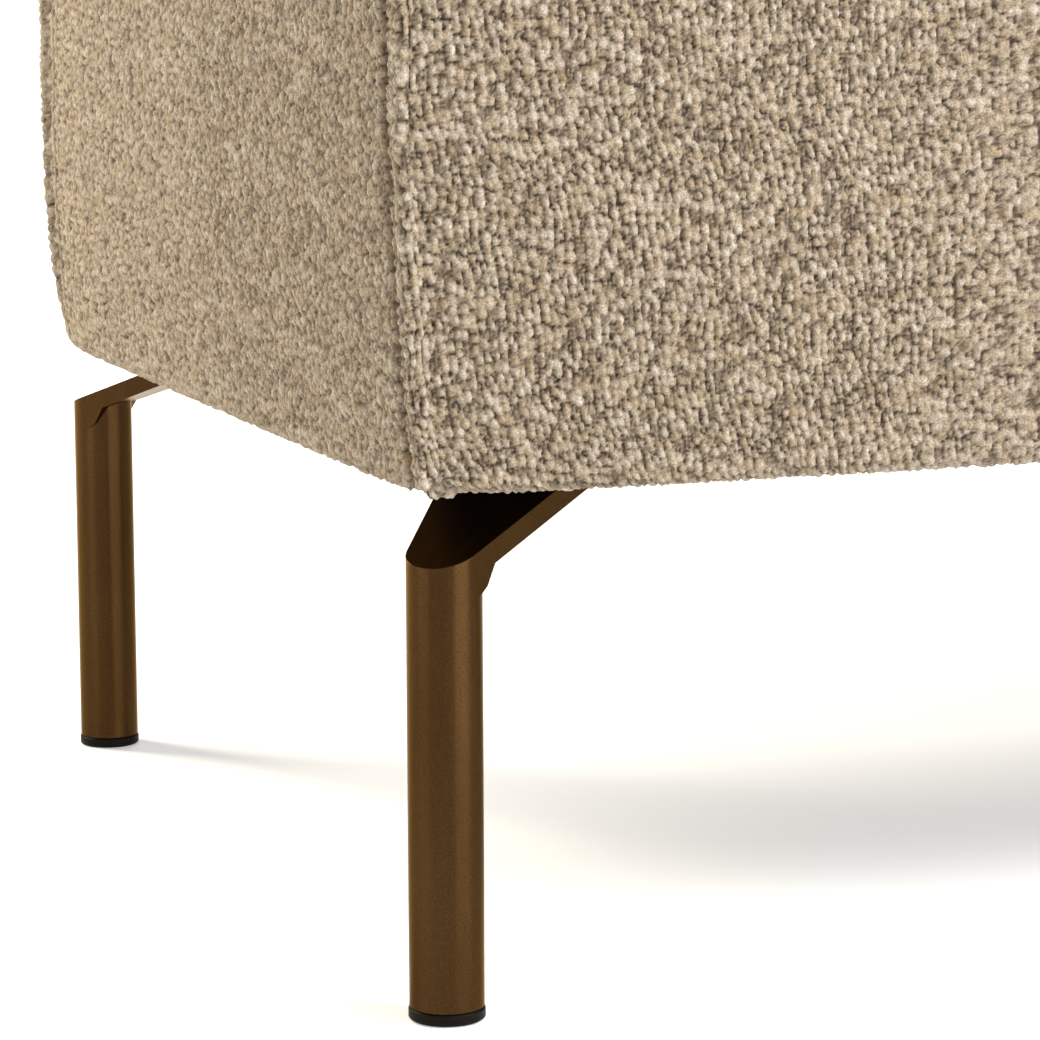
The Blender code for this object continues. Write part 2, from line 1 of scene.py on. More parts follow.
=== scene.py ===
# %% [markdown]
# # A storage ottoman in boucle, on bronze-painted legs
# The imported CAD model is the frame: every piece below takes its place from it. The looks are built
# around it: a boucle cover whose loops are real bumps in the mesh, satin bronze legs, and the bought
# hardware inside, which only shows when the lid is open.

# %% Load the frame
import itertools
import json
import math

import bmesh
import bpy
import numpy as np
from mathutils import Matrix, Vector

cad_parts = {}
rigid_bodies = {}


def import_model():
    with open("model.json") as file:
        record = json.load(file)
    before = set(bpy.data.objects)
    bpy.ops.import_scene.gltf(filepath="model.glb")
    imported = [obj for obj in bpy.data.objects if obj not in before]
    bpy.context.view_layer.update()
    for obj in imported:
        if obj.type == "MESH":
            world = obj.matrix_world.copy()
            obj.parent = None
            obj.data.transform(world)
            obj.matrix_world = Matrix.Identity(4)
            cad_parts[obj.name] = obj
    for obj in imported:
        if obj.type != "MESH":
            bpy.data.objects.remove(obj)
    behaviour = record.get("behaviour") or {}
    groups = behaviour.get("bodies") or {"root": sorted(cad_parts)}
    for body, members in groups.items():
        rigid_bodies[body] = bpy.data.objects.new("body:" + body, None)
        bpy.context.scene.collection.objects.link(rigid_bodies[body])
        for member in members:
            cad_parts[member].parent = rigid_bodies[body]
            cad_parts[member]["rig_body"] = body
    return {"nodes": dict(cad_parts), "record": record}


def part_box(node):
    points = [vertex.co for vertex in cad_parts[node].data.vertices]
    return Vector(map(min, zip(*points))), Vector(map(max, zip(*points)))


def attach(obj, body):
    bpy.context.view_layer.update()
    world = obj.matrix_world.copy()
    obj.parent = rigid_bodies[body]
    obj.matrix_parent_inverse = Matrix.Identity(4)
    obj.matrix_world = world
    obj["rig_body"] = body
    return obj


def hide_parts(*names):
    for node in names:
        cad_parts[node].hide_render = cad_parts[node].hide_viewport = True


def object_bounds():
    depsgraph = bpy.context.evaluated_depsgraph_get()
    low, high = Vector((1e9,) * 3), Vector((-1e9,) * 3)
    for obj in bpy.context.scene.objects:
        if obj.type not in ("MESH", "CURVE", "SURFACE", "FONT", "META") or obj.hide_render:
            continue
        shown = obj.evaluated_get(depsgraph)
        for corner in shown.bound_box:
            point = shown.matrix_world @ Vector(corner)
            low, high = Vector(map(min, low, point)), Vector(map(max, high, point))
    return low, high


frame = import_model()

CAD_LOW, CAD_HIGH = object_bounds()
MM = 0.001
print("CAD box", [round(v, 4) for v in CAD_LOW], [round(v, 4) for v in CAD_HIGH])

# %% [markdown]
# ## The camera
# The picture is a close look at the front left foot with a long lens, from a little above the box's
# underside. The camera is placed from that leg's own axis, so it keeps its place if the frame changes.

# %% Camera
CAMERA_FROM_LEG = Vector((-0.38815, -1.13579, 0.35145))
LENS_MM, SENSOR_MM = 130.05, 36.0
YAW, PITCH, ROLL = (math.radians(angle) for angle in (20.045, 8.794, -0.222))


def axis_of(node):
    """The middle of a node's box in plan, on the floor."""
    low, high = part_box(node)
    return Vector(((low.x + high.x) / 2, (low.y + high.y) / 2, 0.0))


def add_object(name, data):
    made = bpy.data.objects.new(name, data)
    bpy.context.scene.collection.objects.link(made)
    return made


def add_camera():
    data = bpy.data.cameras.new("camera")
    data.lens, data.sensor_width = LENS_MM, SENSOR_MM
    data.clip_end = 200.0
    camera = add_object("camera", data)
    flat = math.cos(PITCH)
    ahead = Vector((math.sin(YAW) * flat, math.cos(YAW) * flat, -math.sin(PITCH)))
    level = Vector((math.cos(YAW), -math.sin(YAW), 0.0))
    upright = level.cross(ahead)
    right = level * math.cos(ROLL) + upright * math.sin(ROLL)
    up = upright * math.cos(ROLL) - level * math.sin(ROLL)
    turn = Matrix((right, up, -ahead)).transposed().to_4x4()
    camera.matrix_world = Matrix.Translation(axis_of("foot_glide_front_left") + CAMERA_FROM_LEG) @ turn
    bpy.context.scene.camera = camera
    return camera


print("camera at", [round(v, 3) for v in add_camera().location])

# %% [markdown]
# ## Small helpers
# Colours are written as sRGB hex, as a maker would read them from a swatch, and one function turns them
# into the linear values that the renderer works in. Another adds a node with its settings and links:
# an input is given a number, a colour, another node's output, or a whole node for its first output.

# %% Colour and node helpers
MULTIPLY = {"data_type": "RGBA", "blend_type": "MULTIPLY"}      # for a Mix node: 6 and 7 go to output 2


def srgb(hex_text):
    values = [int(hex_text[i:i + 2], 16) / 255 for i in (1, 3, 5)]
    return (*[v / 12.92 if v <= 0.04045 else ((v + 0.055) / 1.055) ** 2.4 for v in values], 1.0)


def connect(tree, node, inputs):
    for label, value in inputs.items():
        if isinstance(value, bpy.types.Node):
            value = value.outputs[0]
        if isinstance(value, bpy.types.NodeSocket):
            tree.links.new(value, node.inputs[label])
        else:
            node.inputs[label].default_value = value


def add_node(tree, kind, inputs=None, stops=(), **settings):
    """Add a shader node with its settings, its colour stops and its inputs."""
    node = tree.nodes.new("ShaderNode" + kind)
    for key, value in settings.items():
        setattr(node, key, value)
    for _ in stops[2:]:
        node.color_ramp.elements.new(0.5)
    for number, (position, colour) in enumerate(stops):
        node.color_ramp.elements[number].position = position
        node.color_ramp.elements[number].color = srgb(colour)
    connect(tree, node, inputs or {})
    return node


def new_material(name, values):
    """A material, its node tree and its Principled shader, with what is the same all over."""
    made = bpy.data.materials.new(name)
    made.use_nodes = True
    shader = made.node_tree.nodes["Principled BSDF"]
    connect(made.node_tree, shader, values)
    return made, made.node_tree, shader


# %% [markdown]
# ## Stage and light
# A very large pale floor, so that its edge lies beyond what the long lens sees, under soft lights. The
# floor glows, which is painted light: faintly by the object, where it lightens the shadow, and more with
# distance, so that it reads white behind the object. The key light, high on the front right, grazes the
# loops of the cloth. The wide low panel in front is the bright upright band on the round leg, and the
# left panel is its soft left edge.

# %% Floor
FLOOR_RADIUS, FLOOR_DEPTH = 60.0, 0.2 * MM
GLOW_FROM, GLOW_TO = 0.6, 2.6


def sweep_material():
    """Matt white paint under a painted glow: faint by the object, to lighten its shadow, and white far
    off.
    """
    made, tree, shader = new_material("white_sweep_painted_glow", {
        "Roughness": 0.9, "Base Color": srgb("#ecebe9"), "Emission Color": srgb("#ffffff")})
    place = add_node(tree, "TexCoord").outputs["Object"]
    reach = add_node(tree, "VectorMath", {0: place}, operation="LENGTH").outputs["Value"]
    # painted light: the floor glows at 0.34 by the object, lightening the shadow there, and at 1 far off
    glow = add_node(tree, "MapRange", {"Value": reach, "From Min": GLOW_FROM, "From Max": GLOW_TO,
                                       "To Min": 0.34, "To Max": 1.0}, interpolation_type="SMOOTHSTEP")
    connect(tree, shader, {"Emission Strength": glow})
    return made


def to_mesh(bm, name):
    """Hand a finished bmesh over to a new mesh."""
    mesh = bpy.data.meshes.new(name)
    bm.to_mesh(mesh)
    bm.free()
    return mesh


def add_floor():
    bm = bmesh.new()
    bmesh.ops.create_circle(bm, cap_ends=True, segments=96, radius=FLOOR_RADIUS)
    bmesh.ops.translate(bm, verts=bm.verts, vec=(0.0, 0.0, -FLOOR_DEPTH))
    floor = add_object("floor", to_mesh(bm, "floor"))
    floor.data.materials.append(sweep_material())


add_floor()

# %% Lights


def add_area_light(name, place, aim, size, power, colour):
    data = bpy.data.lights.new(name, "AREA")
    data.shape = "RECTANGLE"
    data.size, data.size_y = size
    data.energy = power
    data.color = srgb(colour)[:3]
    light = add_object(name, data)
    light.location = place
    light.rotation_euler = (Vector(aim) - Vector(place)).to_track_quat("-Z", "Y").to_euler()
    light.visible_camera = False


def add_world(colour, strength):
    world = bpy.context.scene.world = bpy.data.worlds.new("studio")
    world.use_nodes = True
    tree = world.node_tree
    connect(tree, tree.nodes["Background"], {"Color": srgb(colour), "Strength": strength})


FRONT_LEFT_EDGE = (CAD_LOW.x, CAD_LOW.y, 0.27)
MIDDLE = (0.0, 0.0, 0.3)
add_world("#ffffff", 0.24)
add_area_light("key", (0.72, -1.02, 1.22), FRONT_LEFT_EDGE, (0.55, 0.55), 28.0, "#fbfcff")
add_area_light("low_panel", (0.62, -1.66, 0.38), FRONT_LEFT_EDGE, (1.5, 0.7), 19.0, "#ffffff")
add_area_light("fill", (-1.87, -1.88, 1.2), FRONT_LEFT_EDGE, (0.7, 0.7), 3.0, "#fffcf6")
add_area_light("left_panel", (-1.75, -0.35, 0.34), FRONT_LEFT_EDGE, (0.9, 0.6), 4.0, "#fff8ee")
add_area_light("side", (-1.25, 1.25, 1.05), (CAD_LOW.x, 0.05, 0.27), (0.6, 0.8), 41.0, "#fff5de")
add_area_light("top", (0.3, -0.2, 3.0), MIDDLE, (2.4, 2.4), 30.0, "#ffffff")
add_area_light("back", (0.9, 2.6, 1.5), MIDDLE, (1.6, 1.6), 24.0, "#ffffff")
bpy.context.scene.view_settings.view_transform = "Standard"

# %% [markdown]
# ## Boucle
# Boucle is woven from a yarn with small closed loops. Each loop stands up as a rounded nub of 2 to 4 mm
# with a dark gap beside it, and finer threads cross between them. At this distance a bump map would
# look painted on, so the loops are moved out of the mesh itself. A formula places one nub in each
# cell of a jittered grid, and the highest nub wins. Its height and its tone are kept as attributes,
# from which the material takes the colour of tips and gaps.

# %% The height of the loops
NUB_CELL = (2.95 * MM, 3.5 * MM)
SMALL_CELL = (0.56 * NUB_CELL[0], 0.47 * NUB_CELL[1])
SLUB_CELL = (24 * MM, 2.8 * MM)
SLUB_SHARE = 0.06
NUB_HEIGHT = 1.9 * MM
THREAD_PITCH = 1.05 * MM
DOME_POWER = 0.62                 # below 1, so a nub is fuller than a cone and has a steep rim
PLAIN_TIP = 0.85                  # loop_height on a full loop; taller loops along the ridges reach 1, painted lighter as a highlight


def scatter(i, j, seed):
    """A fixed pseudo-random number from 0 to 1 for each grid cell."""
    mixed = i.astype(np.int64) * 374761393 + j.astype(np.int64) * 668265263 + seed * 2246822519
    mixed = (mixed ^ (mixed >> 13)) * 1274126177
    mixed = (mixed ^ (mixed >> 16)) & 0xFFFFFF
    return mixed / float(0xFFFFFF)


def between(low, high, share):
    return low + (high - low) * share


def nub_layer(u, v, cell, seed, size, lean=0.0, missing=0.0):
    """Height from 0 to 1 and tone from 0 to 1 of the tallest nub over each point."""
    x = u / cell[0]
    y = v / cell[1]
    column = np.floor(x)
    height = np.zeros_like(x)
    tone = np.full_like(x, 0.5)
    for step_i in (-1, 0, 1):
        i = column + step_i
        shift = scatter(i, i * 0, seed + 7)
        row = np.floor(y - shift)
        for step_j in (-1, 0, 1):
            j = row + step_j
            dx = x - (i + between(0.25, 0.75, scatter(i, j, seed)))
            dy = y - (j + shift + between(0.25, 0.75, scatter(i, j, seed + 1)))
            turn = lean + between(-0.6, 0.6, scatter(i, j, seed + 2))
            reach = size * between(0.70, 1.22, scatter(i, j, seed + 3))
            slim = between(0.70, 1.0, scatter(i, j, seed + 4))
            across = (dx * np.cos(turn) + dy * np.sin(turn)) / (reach * slim)
            along = (dy * np.cos(turn) - dx * np.sin(turn)) / reach
            dome = np.clip(1.0 - across ** 2 - along ** 2, 0.0, 1.0) ** DOME_POWER
            chance = scatter(i, j, seed + 5)
            level = dome * np.where(chance < missing, 0.25, between(0.68, 1.0, chance))
            taller = level > height
            height = np.where(taller, level, height)
            tone = np.where(taller, scatter(i, j, seed + 6), tone)
    return height, tone


def boucle(u, v, seed):
    """Height in metres and the two attributes of the cloth, at u across and v along the warp."""
    wander = 0.9 * MM * np.sin(v / (17 * MM) + seed) + 0.5 * MM * np.sin(u / (9 * MM) + v / (6 * MM))
    slanted = u + wander + 0.12 * v
    big, big_tone = nub_layer(slanted, v, NUB_CELL, seed, size=0.60, lean=0.25, missing=0.12)
    small, small_tone = nub_layer(u, v + wander, SMALL_CELL, seed + 31, size=0.55, lean=-0.4)
    threads = 0.5 + 0.5 * np.sin(2 * math.pi * (v + wander) / THREAD_PITCH)
    ground = 0.10 * threads + 0.52 * small
    level = np.maximum(big, ground)
    tone = np.where(big > ground, big_tone, 0.3 + 0.5 * small_tone)
    slub, slub_tone = nub_layer(u, v + wander, SLUB_CELL, seed + 63, size=0.5)
    drawn = np.where(slub_tone < SLUB_SHARE, slub, 0.0)
    level = level + drawn * 0.45 * (0.8 - level)
    tone = tone + (drawn > 0.2) * 0.75 * (0.97 - tone)
    return level * NUB_HEIGHT, level * PLAIN_TIP, tone


# %% [markdown]
# ## Cloth panels
# A panel is a fine grid laid over a smooth surface, then closed at the back with a plain inner skin
# one cloth thickness further in, so it is a solid sheet and not a paper-thin one. The grid comes from
# create_grid, and its points then go to the surface all at once, far quicker than one by one.

# %% The panel builder
CLOTH = 2.2 * MM
GRADE_OVER = 60 * MM               # the spacing goes from fine to coarse over this length


def surface_normals(surface, a, b):
    step = 0.05 * MM
    along = surface(a + step, b) - surface(a - step, b)
    up = surface(a, b + step) - surface(a, b - step)
    normal = np.cross(along, up)
    return normal / np.maximum(np.linalg.norm(normal, axis=-1, keepdims=True), 1e-12)


def graded(start, end, fine, coarse, fine_from, fine_to):
    """Points from start to end, closely spaced between fine_from and fine_to, wider elsewhere."""
    probe = np.linspace(start, end, 4000)
    beyond = np.maximum(fine_from - probe, probe - fine_to)
    spacing = fine + (coarse - fine) * np.clip(beyond / GRADE_OVER, 0.0, 1.0)
    cost = np.concatenate(([0.0], np.cumsum(np.diff(probe) / ((spacing[1:] + spacing[:-1]) / 2))))
    count = int(round(cost[-1]))
    return np.interp(np.linspace(0.0, cost[-1], count + 1), cost, probe)


def close_back(bm, columns, rows, inner_columns, inner_rows, inner_points):
    """Close a grid's open back with an inner skin that has only a few faces."""
    bm.verts.ensure_lookup_table()
    outer = [[bm.verts[j * columns + i] for i in range(columns)] for j in range(rows)]
    inner = [[bm.verts.new(point) for point in line] for line in inner_points]
    row_spans = list(itertools.pairwise(range(len(inner_rows))))
    column_spans = list(itertools.pairwise(range(len(inner_columns))))
    for low, high in row_spans:
        for left, right in column_spans:
            bm.faces.new((inner[low][left], inner[high][left], inner[high][right], inner[low][right]))
    for left, right in column_spans:
        a, b = inner_columns[left], inner_columns[right]
        bm.faces.new(outer[0][a:b + 1][::-1] + [inner[0][left], inner[0][right]])
        bm.faces.new(outer[-1][a:b + 1] + [inner[-1][right], inner[-1][left]])
    for low, high in row_spans:
        a, b = inner_rows[low], inner_rows[high]
        bm.faces.new([line[0] for line in outer[a:b + 1]] + [inner[high][0], inner[low][0]])
        bm.faces.new([line[-1] for line in outer[a:b + 1]][::-1] + [inner[low][-1], inner[high][-1]])


def nearest_index(values, wanted):
    return sorted({int(np.argmin(np.abs(values - value))) for value in wanted})


def show(name, mesh, body, material):
    """The finished piece: its object stays at the origin, with its place in its mesh."""
    made = add_object(name, mesh)
    mesh.materials.append(material)
    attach(made, body)
    return made


def cloth_mesh(name, surface, a_values, b_values, a_breaks, b_breaks, pattern, seed, relief):
    """A closed boucle panel over surface(a, b), with its pattern on pattern(a, b) metres of cloth.

    relief(a, b) gives (how much of the loops' height is left, extra height in metres).
    """
    columns, rows = len(a_values), len(b_values)
    a, b = np.meshgrid(a_values, b_values)
    normal = surface_normals(surface, a, b)
    height, level, tone = boucle(*pattern(a, b), seed)
    share, extra = relief(a, b)
    outer = surface(a, b) + normal * (height * share + extra)[..., None]
    inner_columns = nearest_index(a_values, a_breaks)
    inner_rows = nearest_index(b_values, b_breaks)
    inside = (surface(a, b) + normal * (extra - CLOTH)[..., None])[np.ix_(inner_rows, inner_columns)]
    bm = bmesh.new()
    bmesh.ops.create_grid(bm, x_segments=columns - 1, y_segments=rows - 1, size=1.0)
    close_back(bm, columns, rows, inner_columns, inner_rows, inside.tolist())
    mesh = to_mesh(bm, name)
    points = np.concatenate((outer.reshape(-1, 3), inside.reshape(-1, 3))).astype(np.float32)
    mesh.vertices.foreach_set("co", points.ravel())
    spare = len(points) - level.size
    for label, values in (("loop_height", level * share), ("loop_tone", tone)):
        attribute = mesh.attributes.new(label, "FLOAT", "POINT")
        filled = np.concatenate((values.ravel(), np.zeros(spare))).astype(np.float32)
        attribute.data.foreach_set("value", filled)
    mesh.update()
    mesh.shade_smooth()
    print(name, columns, "x", rows, "points,", len(mesh.loops) - 2 * len(mesh.polygons), "triangles")
    return mesh


# %% [markdown]
# ### The boucle material
# Undyed wool and cotton yarn: rough, without a clear highlight, and with a soft sheen where the fibres
# stand out against the light. Wherever the loops are low, between them and along the seams, the colour
# is painted darker and browner than at the tips: painted shade over the real shadow of the mesh.
# The yarn varies from pinkish to straw, loop by loop, and faint streaks along the weft are its uneven
# thickness. One bump, of about 1 mm, is the twist of the yarn, and a finer one draws the fibres.

# %% Boucle material
STREAK = (14 * MM, 14 * MM, 5 * MM)
TWIST = (1.15 * MM, 1.15 * MM, 0.8 * MM)
FIBRE = 0.45 * MM
# painted shade: the lower the loop height, in the gaps and along the seams, the darker and browner; the
# top stop, reached only on the corner ridges, is a painted highlight
DEPTH_SHADE_STOPS = ((0.0, "#30281e"), (0.2, "#796d5f"), (0.45, "#b0a695"), (0.85, "#dad3c6"), (1.0, "#f8f3ea"))
YARN_STOPS = ((0.0, "#e2d3c2"), (0.3, "#ece6da"), (0.55, "#f5f1ed"), (0.8, "#f5ebe8"), (1.0, "#ffffff"))
STREAK_STOPS = ((0.35, "#efe9e0"), (0.5, "#f7f4f0"), (0.66, "#ffffff"))
THREAD_STOPS = ((0.2, "#ffffff"), (0.55, "#f4f2ee"), (0.9, "#d2cbc0"))


def boucle_material():
    made, tree, shader = new_material("boucle_wool_cotton", {
        "Roughness": 0.92, "Sheen Weight": 0.15, "Sheen Roughness": 0.4, "Specular IOR Level": 0.2})
    level = add_node(tree, "Attribute", attribute_name="loop_height").outputs["Fac"]
    tone = add_node(tree, "Attribute", attribute_name="loop_tone").outputs["Fac"]
    place = add_node(tree, "TexCoord").outputs["Object"]
    stretched = add_node(tree, "Mapping", {"Vector": place, "Scale": [1 / size for size in STREAK]})
    streaks = add_node(tree, "TexNoise", {"Vector": stretched, "Scale": 1.0, "Detail": 3.0,
                                          "Roughness": 0.6})
    turned = add_node(tree, "Mapping", {"Vector": place, "Scale": [1 / size for size in TWIST],
                                        "Rotation": (0.5, 0.6, 0.0)})
    twist = add_node(tree, "TexVoronoi", {"Vector": turned, "Scale": 1.0})
    # painted shade and highlight: the colour follows the loop height
    colour = add_node(tree, "ValToRGB", {"Fac": level}, stops=DEPTH_SHADE_STOPS)
    for source, stops in ((tone, YARN_STOPS), (streaks, STREAK_STOPS), (twist, THREAD_STOPS)):
        tint = add_node(tree, "ValToRGB", {"Fac": source}, stops=stops)
        colour = add_node(tree, "Mix", {0: 1.0, 6: colour, 7: tint}, **MULTIPLY).outputs[2]
    fibres = add_node(tree, "TexNoise", {"Vector": place, "Scale": 1 / FIBRE, "Detail": 3.0,
                                         "Roughness": 0.65})
    yarn = add_node(tree, "Bump", {"Height": twist, "Distance": 0.55 * MM, "Strength": 1.0}, invert=True)
    fuzz = add_node(tree, "Bump", {"Height": fibres, "Distance": 0.6 * MM, "Strength": 0.9,
                                   "Normal": yarn})
    connect(tree, shader, {"Base Color": colour, "Normal": fuzz})
    return made


BOUCLE = boucle_material()

# %% [markdown]
# ### The outline and the path of the cloth
# The box and the lid have the same rounded-rectangle plan. A point on a cover is found from two
# lengths: how far round the plan it is, and how far along the cloth's path in section. The corner's
# radius shrinks as the cloth goes inward under the box, so the folds stay neat.

# %% Plan and path
LEAST_CORNER = 2.0 * MM
HALF_X, HALF_Y = CAD_HIGH.x, CAD_HIGH.y


class Plan:
    """A rounded rectangle, s metres along from the left end of the front side, to the right."""

    def __init__(self, corner):
        self.corner = corner
        self.arc = corner * math.pi / 2
        parts = [2 * (HALF_X - corner), self.arc, 2 * (HALF_Y - corner), self.arc] * 2
        self.edges = np.concatenate(([0.0], np.cumsum(parts)))
        self.round = self.edges[-1]

    def away(self, s, places):
        """How far round the plan each s is from the nearest of some places."""
        gap = np.mod(s[..., None] - np.array(places) + self.round / 2, self.round) - self.round / 2
        return np.abs(gap).min(axis=-1)

    def at(self, s, inward):
        s = np.mod(s, self.round)
        part = np.clip(np.searchsorted(self.edges, s, side="right") - 1, 0, 7)
        share = (s - self.edges[part]) / (self.edges[part + 1] - self.edges[part])
        radius = np.maximum(self.corner - inward, LEAST_CORNER)
        x, y = HALF_X - inward, HALF_Y - inward
        quarter = part // 2
        swing = (quarter - 1 + share) * math.pi / 2
        mid_x = (x - radius) * np.choose(quarter, (1, 1, -1, -1))
        mid_y = (y - radius) * np.choose(quarter, (-1, 1, 1, -1))
        run = 2 * share - 1
        line_x = np.choose(quarter, (run * (x - radius), x, run * (radius - x), -x))
        line_y = np.choose(quarter, (-y, run * (y - radius), y, run * (radius - y)))
        turning = part % 2 == 1
        return (np.where(turning, mid_x + radius * np.cos(swing), line_x),
                np.where(turning, mid_y + radius * np.sin(swing), line_y))


def path_of(points):
    """(a function from length along the path to inward and height, the path's length)."""
    points = np.array(points)
    lengths = np.concatenate(([0.0], np.cumsum(np.linalg.norm(np.diff(points, axis=0), axis=1))))

    def at(length):
        return np.interp(length, lengths, points[:, 0]), np.interp(length, lengths, points[:, 1])
    return at, lengths[-1]


def arc_points(centre, radius, start, end):
    angles = np.radians(np.linspace(start, end, 24))
    return [(centre[0] + radius * math.cos(turn), centre[1] + radius * math.sin(turn)) for turn in angles]


def rise(distance, width, least=0.0):
    """A smooth step from least at a seam or an end up to 1 at width away from it."""
    x = np.clip(distance / width, 0.0, 1.0)
    return least + (1 - least) * x * x * (3 - 2 * x)


def dip(distance, depth, width):
    """A soft groove, depth deep where the distance is nothing."""
    return -depth * np.exp(-(distance / width) ** 2)


# %% [markdown]
# ### The box cover
# The cover is a sleeve of four panels. The front and back panels run 13 mm round the corners and are
# sewn to the side panels there, so the seam lies on the side face and the corner itself stays one
# soft edge. From the rim the cloth goes over the wall's top edge, down the face, which leans in a
# little towards the bottom, and round the lower edge to where it is stapled.

# %% The sleeve
BOX_LOW, BOX_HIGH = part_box("cover_front")
BOX_PLAN = Plan(4.2 * MM)
SEAM_OFFSET = 13 * MM
RIM_RADIUS = 9 * MM
FACE_IN = 1.3 * MM
TUCK_TOP = BOX_LOW.z + 100 * MM
TUCK_DEPTH = 5.4 * MM
FOOT_RADIUS = 6.5 * MM
TURN_UNDER = 18 * MM
TURN_OVER = 20 * MM
SEAM_GROOVE = (2.6 * MM, 1.8 * MM)         # depth and width
PUFF = 0.9 * MM                            # how far the thin foam fills a panel out
RIDGE, RIDGE_WIDTH = 0.4 * MM, 2.0 * MM    # the corner's fold stands out by this
HOLLOW = 3.4 * MM                          # and the cloth beside it sinks by this,
HOLLOW_WIDTHS = (2.4 * MM, 14 * MM)        # within these widths on its near and far side
RIDGE_LOOPS_AND_HIGHLIGHT = 0.16                      # the ridge spreads the loops, so they stand taller, and they are painted lighter: a painted highlight


def box_path():
    """(inward, height) from under the box, up the face and over the rim."""
    low, rim = BOX_LOW.z + 1.2 * MM, BOX_HIGH.z - 1.1 * MM
    foot_in = FACE_IN + TUCK_DEPTH + FOOT_RADIUS
    path = [(foot_in + TURN_UNDER, low), (foot_in + 2 * MM, low)]
    path += arc_points((foot_in, low + FOOT_RADIUS), FOOT_RADIUS, -90, -180)
    for share in np.linspace(0.0, 1.0, 30)[1:]:
        height = low + FOOT_RADIUS + (TUCK_TOP - low - FOOT_RADIUS) * share
        path.append((FACE_IN + TUCK_DEPTH * (1 - share) ** 2, height))
    path += arc_points((FACE_IN + RIM_RADIUS, rim - RIM_RADIUS), RIM_RADIUS, 180, 90)
    path.append((FACE_IN + RIM_RADIUS + TURN_OVER, rim))
    return path


BOX_AT, BOX_LENGTH = path_of(box_path())


def seam_place(t, corner):
    """How far the seam strays from its mean place: nearer the corner low down, and never straight."""
    slope = 10 * MM * (rise(t, 150 * MM) - 0.62)
    return slope + 0.9 * MM * np.sin(t / (21 * MM) + 1.7 * corner) + 0.5 * MM * np.sin(t / (7 * MM))


def corner_shape(s, plan):
    """Extra height by an upright corner, where the cloth folds to a ridge, and how near the ridge is."""
    away = np.maximum(plan.away(s, plan.edges[1::2] + plan.arc / 2) - 0.8 * plan.arc / 2, 0.0)
    ridge = np.exp(-(away / RIDGE_WIDTH) ** 2)
    near, far = HOLLOW_WIDTHS
    beside = np.exp(-away / far) * (1 - np.exp(-(away / near) ** 2))
    return RIDGE * ridge - HOLLOW * beside, ridge


def box_panel(side, start, end, corners, fine_span, fine, seed):
    """One panel of the sleeve; corners are the (index, direction) of its two seams."""
    def surface(s, t):
        left = start + corners[0][1] * seam_place(t, corners[0][0])
        right = end + corners[1][1] * seam_place(t, corners[1][0])
        inward, height = BOX_AT(t)
        x, y = BOX_PLAN.at(left + (s - start) / (end - start) * (right - left), inward)
        return np.stack((x, y, height), axis=-1)

    def relief(s, t):
        to_seam = np.minimum(s - start, end - s)
        to_end = np.minimum(t, BOX_LENGTH - t)
        # at a seam the loops sink, and the material paints them darker: painted shade in the seam's
        # groove
        share = rise(to_seam, 2.6 * MM, least=0.1) * rise(to_end, 4 * MM)
        puff = PUFF * rise(to_seam - 4 * MM, 60 * MM) * rise(to_end, 90 * MM)
        fold, ridge = corner_shape(s, BOX_PLAN)
        extra = dip(to_seam, *SEAM_GROOVE) + puff + fold * rise(to_end, 30 * MM)
        # the ridge's extra share also lifts loop_height, which the material paints as a highlight
        return share * (1 + RIDGE_LOOPS_AND_HIGHLIGHT * ridge), extra

    s_values = graded(start, end, fine, 1.5 * MM, *fine_span)
    t_fine = 0.78 * MM if fine < 1.2 * MM else 1.25 * MM
    t_values = graded(0.0, BOX_LENGTH, t_fine, 1.3 * MM, 16 * MM, 175 * MM)
    bends = [share * BOX_PLAN.arc for share in (0.0, 0.25, 0.5, 0.75, 1.0)]
    bends += [BOX_PLAN.arc / 2 + way * step * MM for way in (-1, 1) for step in (5, 9, 16, 28, 50)]
    turns = [BOX_PLAN.edges[part] + bend + lap * BOX_PLAN.round
             for part in (1, 3, 5, 7) for bend in bends for lap in (-1, 0)]
    s_breaks = [start, start + 3.5 * MM, end - 3.5 * MM, end]
    s_breaks += [turn for turn in turns if start + 5 * MM < turn < end - 5 * MM]
    name = f"cover_{side}_boucle"
    mesh = cloth_mesh(name, surface, s_values, t_values, s_breaks, np.linspace(0.0, BOX_LENGTH, 40),
                      lambda s, t: (s, t), seed, relief)
    made = show(name, mesh, "box", BOUCLE)
    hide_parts(f"cover_{side}")


EDGES = BOX_PLAN.edges
FRONT_START, FRONT_END = -EDGES[8] + EDGES[7] - SEAM_OFFSET, EDGES[2] + SEAM_OFFSET
BACK_START, BACK_END = EDGES[3] - SEAM_OFFSET, EDGES[6] + SEAM_OFFSET
LEFT_END = EDGES[7] - SEAM_OFFSET
FRONT_NEAR, LEFT_NEAR = FRONT_START + 180 * MM, LEFT_END - 200 * MM     # finer where a view is close
box_panel("front", FRONT_START, FRONT_END, ((0, -1), (1, 1)), (FRONT_START, FRONT_NEAR), 0.68 * MM, 11)
box_panel("right", FRONT_END, BACK_START, ((1, 1), (2, -1)), (FRONT_END, BACK_START), 1.5 * MM, 23)
box_panel("back", BACK_START, BACK_END, ((2, -1), (3, 1)), (BACK_START, BACK_END), 1.5 * MM, 37)
box_panel("left", BACK_END, LEFT_END, ((3, 1), (0, -1)), (LEFT_NEAR, LEFT_END), 0.8 * MM, 53)

# %% [markdown]
# ### The lid's cushion
# The lid is a boxed cushion on a board: a top panel sewn to a border along the upper edge, over soft
# foam. Its crown is not drawn but simulated. A coarse copy of top and border is held along the seam
# and at the board, and blown up a little with Blender's cloth pressure. How far each point moved is
# then smoothed and used to swell the fine panels, which keeps their loops crisp.

